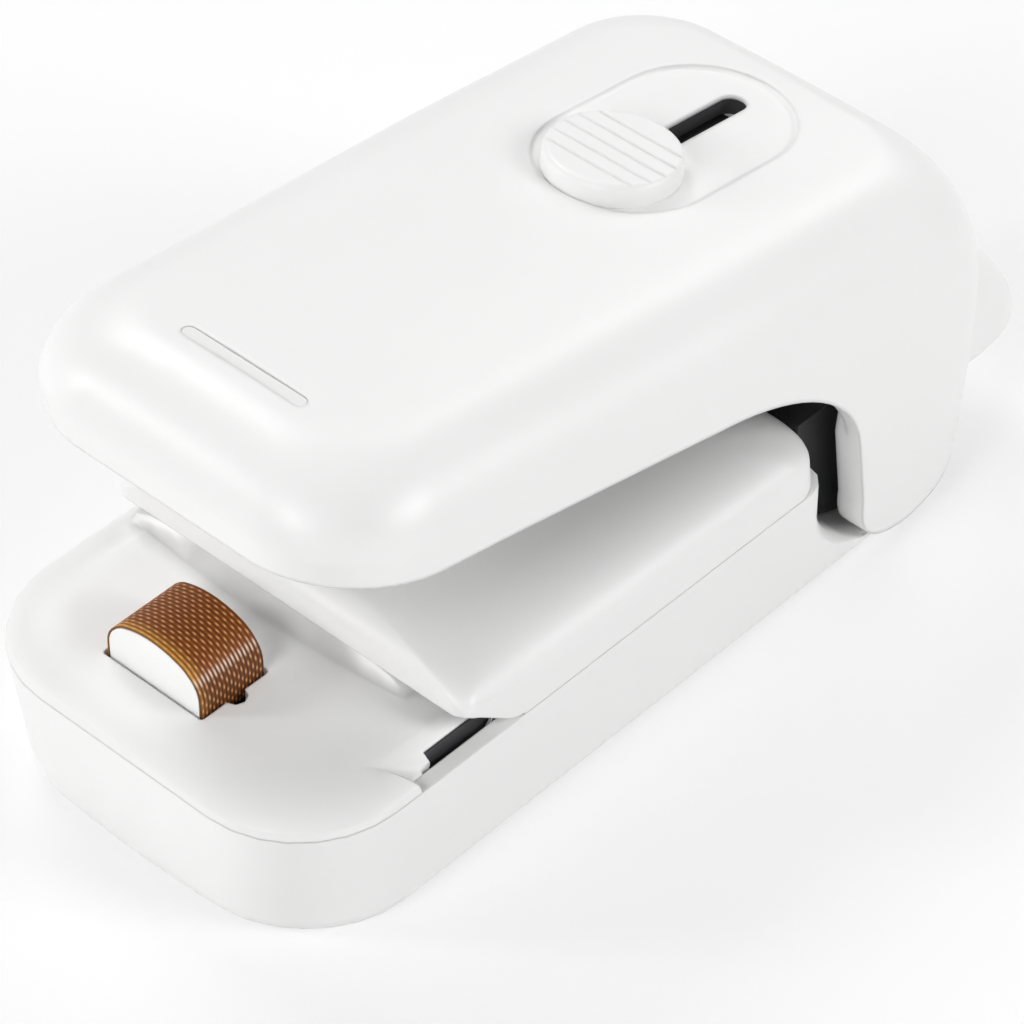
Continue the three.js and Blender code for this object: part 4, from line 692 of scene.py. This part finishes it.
def lever_shell():
    """The hollow lever with its two legs, the pins' bores, the tray, the lock's slot and the bar mark."""
    wide = LEVER.half_width + OVERRUN
    low = LEVER.bottom - OVERRUN
    far = LEVER.rear + LEVER.rear_bulge + OVERRUN
    high = LEVER.top + LEVER.crown + OVERRUN
    inner = LEVER.leg_inner
    shell = lever_body(0, CORNER_STEPS, ROUND_STEPS)
    carve(shell, skirt_cutter())
    room = lever_body(LEVER.wall, CORNER_STEPS // 2, ROUND_STEPS // 2)
    carve(room, block(-wide, wide, LEVER.front, LEVER.leg_front, low, high), "INTERSECT")
    carve(shell, room)
    room = lever_body(LEVER.wall, CORNER_STEPS // 2, ROUND_STEPS // 2)
    carve(room, block(-inner, inner, LEVER.leg_front - OVERRUN, far, low, high), "INTERSECT")
    carve(shell, room)
    carve(shell, block(-inner, inner, LEVER.leg_front - OVERRUN, far, low, LEVER.rear_opening))
    for start, end in ((-LEVER.bore_end, OVERRUN - inner), (inner - OVERRUN, LEVER.bore_end)):
        carve(shell, prism("x", circle((0, 0), LEVER.bore, LEVER.bore_sides), start, end))
    carve(shell, tray_cutter())
    under_top = LEVER.top - LEVER.wall - OVERRUN
    carve(shell, prism("z", slot_plan(0), under_top, high))
    rim_bottom = LEVER.top + LEVER.crown - TRAY.depth - SLOT.rim
    carve(shell, prism("z", slot_plan(SLOT.relief), under_top, rim_bottom))
    carve(shell, prism("z", mark_plan(0), LEVER.top + LEVER.crown - MARK.depth, high))
    shell.data.transform(LEVER_FRAME)
    return shell


def slot_shade_ring():
    """A black ring under the rim of the slot: painted shade, which keeps the slot dark to its ends."""
    outer = slot_plan(SLOT.relief - SLOT.shade_ring_gap)
    inner = slot_plan(SLOT.shade_ring_gap)
    bottom = LEVER.top - LEVER.wall
    top = LEVER.top + LEVER.crown - TRAY.depth - SLOT.rim - SLOT.shade_ring_gap / 2
    shade_ring = carve(prism("z", outer, bottom, top), prism("z", inner, bottom - OVERRUN, top + OVERRUN))
    shade_ring.name = "slot_shade_ring"
    shade_ring.data.transform(LEVER_FRAME)
    return shade_ring


def mark_shade_inlay():
    """A flat, slightly greyer bar that lies sunk in the mark's groove: painted shade in the groove."""
    high = LEVER.top + LEVER.crown
    bottom = high - MARK.depth - MARK.inlay_root
    inlay = prism("z", mark_plan(MARK.gap), bottom, high - MARK.inlay_depth)
    inlay.data.transform(LEVER_FRAME)
    inlay.name = "mark_shade_inlay"
    return inlay


# The low cover, the tail and the lock knob


def crown_at(y):
    """The height of the cover's top at a place along the body."""
    share = (y - COVER.front) / (COVER.rear - COVER.front)
    return SEAM + COVER.front_rise + (COVER.rear_rise - COVER.front_rise) * share


def shoulder_at(y):
    """The height where the cover's side begins to round over, at a place along the body."""
    share = min((y - COVER.front) / COVER.shoulder_run, 1)
    return SEAM + COVER.shoulder + (COVER.front_shoulder - COVER.shoulder) * (1 - share) ** 2


def cover_dome(inset, bottom, corner_steps, round_steps):
    """The cover's outside, or its hollow when it is drawn in by a wall."""
    def ring_at(turn, level=None):
        sweep = 1 - math.cos(turn)
        lean = COVER.side_lean if level is None else 0
        half_width = BODY_HALF - lean - inset - (COVER.side_round - inset / 2) * sweep
        front = COVER.front + inset + COVER.front_round * sweep
        rear = COVER.rear - inset - COVER.rear_round * sweep
        front_corner = COVER.front_corner - inset + (COVER.front_corner_top - COVER.front_corner) * sweep
        rear_corner = COVER.rear_corner - inset + (COVER.rear_round - inset) * sweep
        plan = outline(half_width, front, rear, front_corner, rear_corner, corner_steps, SIDE_STEPS)
        if level is not None:
            return [(x, y, level) for x, y in plan]
        ring = []
        for x, y in plan:
            shoulder = shoulder_at(y)
            ring.append((x, y, shoulder + (crown_at(y) - inset - shoulder) * math.sin(turn)))
        return ring

    turns = [step / round_steps * math.pi / 2 for step in range(round_steps + 1)]
    return loft("mid_cover_skin", [ring_at(0, bottom)] + [ring_at(turn) for turn in turns])


def mid_cover():
    """The low cover over the cells, with the lock's catch bar, two bosses and a curve under its lip."""
    wide = BODY_HALF + OVERRUN
    cover = cover_dome(0, SEAM - GAP + SEAM_GAP, CORNER_STEPS, ROUND_STEPS)
    carve(cover, cover_dome(COVER.wall, SEAM - OVERRUN, CORNER_STEPS // 2, ROUND_STEPS // 2))
    catch = block(-CATCH.half_width, CATCH.half_width, CATCH.front, CATCH.rear,
                  crown_at(COVER.rear) - COVER.wall / 2, CATCH.top)
    gate = block(-CATCH.inner, CATCH.inner, CATCH.front - OVERRUN, CATCH.rear + OVERRUN, 0, CATCH.bottom)
    carve(cover, carve(catch, gate), "UNION")
    for side in (-1, 1):
        spot = (side * BOSS.x, BOSS.y)
        carve(cover, prism("z", circle(spot, BOSS.radius, BOSS.sides), BOSS.bottom, BOSS.top), "UNION")
        carve(cover, prism("z", circle(spot, BOSS.hole, BOSS.sides), BOSS.bottom - OVERRUN, BOSS.hole_top))
    run = COVER.lip_end - COVER.lip_front
    rise = COVER.lip_top - SEAM
    points = [(0, COVER.lip_top), (COVER.lip_front, COVER.lip_top)]
    for control_run, control_rise, end_run, end_rise in LIP_SHARES:
        control = (COVER.lip_front + run * control_run, SEAM + rise * control_rise)
        end = (COVER.lip_front + run * end_run, SEAM + rise * end_rise)
        points += quadratic(points[-1], control, end, CURVE_STEPS)
    points += [(COVER.lip_end, 0), (0, 0)]
    carve(cover, prism("x", points, -wide, wide))
    throat = BODY_HALF - COVER.side_lean - COVER.wall
    carve(cover, block(-throat, throat, 0, COVER.lip_end, 0, COVER.lip_top))
    gate_front = COVER.rear - 2 * COVER.wall
    carve(cover, block(-HIP_HALF, HIP_HALF, gate_front, COVER.rear + OVERRUN, 0, COVER.gate_top))
    cover.data.transform(BODY_FRAME)
    return cover


def smooth_value(shares, column, up):
    """The value of a table's column at a height between its rows, along a smooth curve through them."""
    index = max(i for i in range(len(shares) - 1) if shares[i][0] <= up)
    rows = [shares[min(max(index + offset, 0), len(shares) - 1)] for offset in (-1, 0, 1, 2)]
    before, start, end, after = [(row[0], row[column]) for row in rows]
    span = end[0] - start[0]
    t = (up - start[0]) / span

    def slope(low, middle, high):
        if (middle[1] - low[1]) * (high[1] - middle[1]) <= 0:
            return 0.0
        return (high[1] - low[1]) / (high[0] - low[0])

    first = slope(before, start, end) * span if before != start else end[1] - start[1]
    second = slope(start, end, after) * span if after != end else end[1] - start[1]
    return (
        (2 * t ** 3 - 3 * t ** 2 + 1) * start[1] + (t ** 3 - 2 * t ** 2 + t) * first
        + (3 * t ** 2 - 2 * t ** 3) * end[1] + (t ** 3 - t ** 2) * second
    )


def tail_hump(inset, corner_steps, levels):
    """The tail's outside, or its hollow when it is drawn in by a wall."""
    length = TAIL.rear - TAIL.front
    rings = []
    for step in range(levels + 1):
        up = (1 - math.cos(step / levels * math.pi)) / 2
        rear, front, side = (smooth_value(TAIL_SHARES, column, up) for column in (1, 2, 3))
        level = TAIL.bottom + inset + (TAIL.top - TAIL.bottom - 2 * inset) * up
        plan = outline((TAIL.half_width - inset) * (1 - side), TAIL.front + inset + length * front,
                       TAIL.rear - inset - length * rear, TAIL.corner - inset, TAIL.corner - inset,
                       corner_steps, TAIL.side_steps)
        rings.append([(x, y, level) for x, y in plan])
    return loft("tail_cover_skin", rings)


def tail_cover():
    """The hump behind the hinge, open below over the body."""
    wide = BODY_HALF + OVERRUN
    room = TAIL.half_width - TAIL.wall
    tail = tail_hump(0, CORNER_STEPS, TAIL_LEVELS)
    carve(tail, tail_hump(TAIL.wall, CORNER_STEPS // 2, TAIL_LEVELS // 2))
    carve(tail, block(-wide, wide, 0, TAIL.body_end, 0, SEAM))
    carve(tail, block(-room, room, TAIL.front + TAIL.wall, TAIL.body_end - TAIL.wall, 0, TAIL.room_top))
    tail.data.transform(BODY_FRAME)
    return tail


def lock_knob():
    """A round knob with grooves across its top and a stem below."""
    turns = [step / FILLET_STEPS * math.pi / 2 for step in range(FILLET_STEPS + 1)]
    lower_edge = KNOB.edge / 2
    lower = [
        (KNOB.radius - lower_edge * (1 - math.sin(turn)), KNOB.bottom + lower_edge * (1 - math.cos(turn)))
        for turn in turns
    ]
    upper = [(KNOB.radius - KNOB.edge * (1 - math.cos(turn)), KNOB.top - KNOB.edge * (1 - math.sin(turn)))
             for turn in turns]
    knob = loft("lock_knob_skin", [
        [(x, y, level) for x, y in circle((0, KNOB.y), radius, KNOB.sides)] for radius, level in lower + upper
    ])
    reach = KNOB.radius + OVERRUN
    for groove in range(KNOB.grooves):
        y = KNOB.y + (groove - (KNOB.grooves - 1) / 2) * KNOB.groove_step
        half = KNOB.groove_width / 2
        floor = KNOB.top - KNOB.groove_depth
        profile = [(y - half, KNOB.top + OVERRUN), (y - half, KNOB.top), (y - half / 2, floor),
                   (y + half / 2, floor), (y + half, KNOB.top), (y + half, KNOB.top + OVERRUN)]
        carve(knob, prism("x", profile, -reach, reach))
    carve(knob, block(-KNOB.stem_x, KNOB.stem_x, KNOB.y - KNOB.stem_y, KNOB.y + KNOB.stem_y,
                      KNOB.stem_bottom, KNOB.bottom + KNOB.edge), "UNION")
    knob.data.transform(LEVER_FRAME)
    return knob


# Pieces


def place_piece(piece, node, material):
    """Puts a finished piece in the place of its node."""
    piece.data.materials.clear()
    piece.data.materials.append(material)
    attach(piece, body_of_node[node])
    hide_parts(node)


def finish_mesh(piece):
    """Welds a piece and makes it smooth over its rounds and crisp at its edges."""
    mesh = piece.data
    work = bmesh.new()
    work.from_mesh(mesh)
    bmesh.ops.remove_doubles(work, verts=work.verts, dist=WELD)
    bmesh.ops.dissolve_limit(work, angle_limit=FLAT_ANGLE, verts=work.verts, edges=work.edges)
    for face in work.faces:
        face.smooth = True
    work.to_mesh(mesh)
    work.free()
    mesh.set_sharp_from_angle(angle=SHARP_ANGLE)
    weighted = piece.modifiers.new("weighted", "WEIGHTED_NORMAL")
    weighted.keep_sharp = True
    return piece


def smooth_copy(node):
    """A copy of a shown node. A seamed one has its lower face brought down, which leaves only a thin seam."""
    source = frame["nodes"][node]
    mesh = source.data.copy()
    piece = bpy.data.objects.new(f"{node}_skin", mesh)
    piece.matrix_world = source.matrix_world.copy()
    bpy.context.scene.collection.objects.link(piece)
    if node in SEAMED:
        for vertex in mesh.vertices:
            if abs(vertex.co.z - SEAM * MM) < WELD:
                vertex.co.z -= (GAP - SEAM_GAP) * MM
    return piece


def blade_holder():
    """The black carrier of the blade, a plate along the inner wall of the slot on a foot. The plate reaches
    past the blade as painted shade, which keeps the slot dark.
    """
    plate = block(HOLDER.left, HOLDER.right, HOLDER.front, HOLDER.rear, HOLDER.bottom, HOLDER.top)
    foot = block(HOLDER.left - HOLDER.foot, HOLDER.right, HOLDER.foot_front, HOLDER.foot_rear, HOLDER.bottom,
                 HOLDER.bottom + HOLDER.foot)
    carve(plate, foot, "UNION")
    plate.data.transform(BODY_FRAME)
    return plate


def node_corners(node):
    """The low and high corner of a node's box, in millimetres."""
    shown = frame["nodes"][node]
    corners = [shown.matrix_world @ Vector(corner) / MM for corner in shown.bound_box]
    return [[pick(corner[axis] for corner in corners) for axis in range(3)] for pick in (min, max)]


def battery_cell(node):
    """A cell along Y: a rolled edge at its flat end, a step and a nub at the other."""
    low, high = node_corners(node)
    length = high[1] - low[1]
    turned = node == "battery_left"
    profile = [(share * CELL.radius, depth) for share, depth in FLAT_END_SHARES]
    profile += [(share * CELL.radius, length - depth) for share, depth in NUB_END_SHARES]
    rings = []
    for radius, along in profile:
        y = high[1] - along if turned else low[1] + along
        ring = [(x, y, z) for x, z in circle(((low[0] + high[0]) / 2, CELL.z), radius, CELL.sides)]
        rings.append(ring if turned else ring[::-1])
    made = loft(node, rings)
    made.data.transform(Matrix.Scale(MM, 4))
    return made


def body_screw(node):
    """A screw, head down, with a cross in its head."""
    low, high = node_corners(node)
    x, y = (low[0] + high[0]) / 2, (low[1] + high[1]) / 2
    head_top = low[2] + SCREW.head_height
    turns = [step / FILLET_STEPS * math.pi / 2 for step in range(FILLET_STEPS + 1)]
    profile = [(SCREW.head - SCREW.edge * (1 - math.sin(turn)), low[2] + SCREW.edge * (1 - math.cos(turn)))
               for turn in turns]
    profile += [(SCREW.head, head_top), (SCREW.shank, head_top), (SCREW.shank, high[2] - SCREW.point),
                (SCREW.tip, high[2])]
    screw = loft(node, [[(*spot, level) for spot in circle((x, y), radius, SCREW.sides)]
                        for radius, level in profile])
    top = low[2] + SCREW.recess_depth
    for half_x, half_y in ((SCREW.recess, SCREW.recess_half), (SCREW.recess_half, SCREW.recess)):
        carve(screw, block(x - half_x, x + half_x, y - half_y, y + half_y, low[2] - OVERRUN, top))
    screw.data.transform(Matrix.Scale(MM, 4))
    return screw


modelled = {
    "blade_holder": blade_holder,
    "lever_shell": lever_shell,
    "mid_cover": mid_cover,
    "tail_cover": tail_cover,
    "lock_knob": lock_knob,
}
for node_name, slot_name in slot_of_node.items():
    if node_name in modelled:
        piece = modelled[node_name]()
    elif slot_name == "cell":
        piece = battery_cell(node_name)
    elif node_name.startswith("screw_"):
        piece = body_screw(node_name)
    else:
        piece = smooth_copy(node_name)
    piece.name = f"{node_name}_skin"
    look = "shell_soft" if node_name == "lever_shell" else slot_name
    place_piece(finish_mesh(piece), node_name, materials[look])
    if node_name == "heater_spring":
        height = node_corners(node_name)[1][2] * MM - SPRING_FOOT.z
        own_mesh(piece)
inlay = finish_mesh(mark_shade_inlay())
inlay.data.materials.append(materials["shell_shade"])
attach(inlay, "lever")
shade_ring = finish_mesh(slot_shade_ring())
shade_ring.data.materials.append(materials["dark"])
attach(shade_ring, "lever")


# Floor, light and camera


def make_floor():
    """A white table. For the camera it glows in part, which keeps its white clean and its shadows pale."""
    bpy.ops.mesh.primitive_plane_add(size=FLOOR_SIDE, location=(0, 0, 0))
    floor = bpy.context.object
    floor.name = "floor"
    material, tree, place = new_material("floor")
    grain = noise(tree, place, scale=300.0, detail=3.0)
    colour = blend_colours(tree, grain, *TONES["floor"])
    matt = add_node(tree, "ShaderNodeBsdfDiffuse", {"Color": colour})
    glow = add_node(tree, "ShaderNodeEmission", {"Color": WHITE, "Strength": 1.0})
    seen = add_node(tree, "ShaderNodeLightPath").outputs["Is Camera Ray"]
    share = math_node(tree, "MULTIPLY", seen, FLOOR_GLOW)
    mixed = add_node(tree, "ShaderNodeMixShader", {0: share})
    tree.links.new(matt.outputs[0], mixed.inputs[1])
    tree.links.new(glow.outputs[0], mixed.inputs[2])
    out = add_node(tree, "ShaderNodeOutputMaterial")
    tree.links.new(mixed.outputs[0], out.inputs["Surface"])
    floor.data.materials.append(material)


def make_world():
    """A white surround: full to the camera, in reflections and through clear pieces, and weaker as light."""
    world = bpy.data.worlds.new("world")
    world.use_nodes = True
    bpy.context.scene.world = world
    tree = world.node_tree
    tree.nodes.clear()
    path = add_node(tree, "ShaderNodeLightPath")
    seen = math_node(tree, "ADD", path.outputs["Is Camera Ray"], path.outputs["Is Glossy Ray"])
    seen = math_node(tree, "ADD", seen, path.outputs["Is Transmission Ray"], clamp=True)
    strength = remap(tree, seen, WORLD_STRENGTH, 1.0)
    background = add_node(tree, "ShaderNodeBackground", {"Color": WHITE, "Strength": strength})
    out = add_node(tree, "ShaderNodeOutputWorld")
    tree.links.new(background.outputs["Background"], out.inputs["Surface"])


def add_lamp(name, place, target, size, watts):
    """A round lamp that points at a target."""
    lamp = bpy.data.lights.new(name, "AREA")
    lamp.shape = "DISK"
    lamp.size = size
    lamp.energy = watts
    holder = bpy.data.objects.new(name, lamp)
    holder.location = place
    direction = Vector(target) - Vector(place)
    holder.rotation_euler = direction.to_track_quat("-Z", "Y").to_euler()
    bpy.context.scene.collection.objects.link(holder)


def make_camera():
    """The camera at its distance from its target, with the lens that the photograph was taken through."""
    back = Vector((
        math.sin(CAMERA_AZIMUTH) * math.cos(CAMERA_ELEVATION),
        -math.cos(CAMERA_AZIMUTH) * math.cos(CAMERA_ELEVATION),
        math.sin(CAMERA_ELEVATION),
    ))
    camera = bpy.data.objects.new("camera", bpy.data.cameras.new("camera"))
    camera.data.sensor_width = SENSOR_WIDTH
    camera.data.lens = FOCAL_PIXELS / IMAGE_SIDE * SENSOR_WIDTH
    camera.data.clip_start = CAMERA_NEAR
    camera.data.clip_end = CAMERA_FAR
    camera.location = CAMERA_TARGET + CAMERA_DISTANCE * back
    camera.rotation_mode = "QUATERNION"
    camera.rotation_quaternion = (-back).to_track_quat("-Z", "Y")
    bpy.context.scene.collection.objects.link(camera)
    bpy.context.scene.camera = camera


make_floor()
make_world()
for lamp_name, lamp_place, lamp_size, lamp_watts in LAMPS:
    add_lamp(lamp_name, lamp_place, LAMP_TARGET, lamp_size, lamp_watts)
make_camera()
bpy.context.scene.view_settings.view_transform = "Standard"
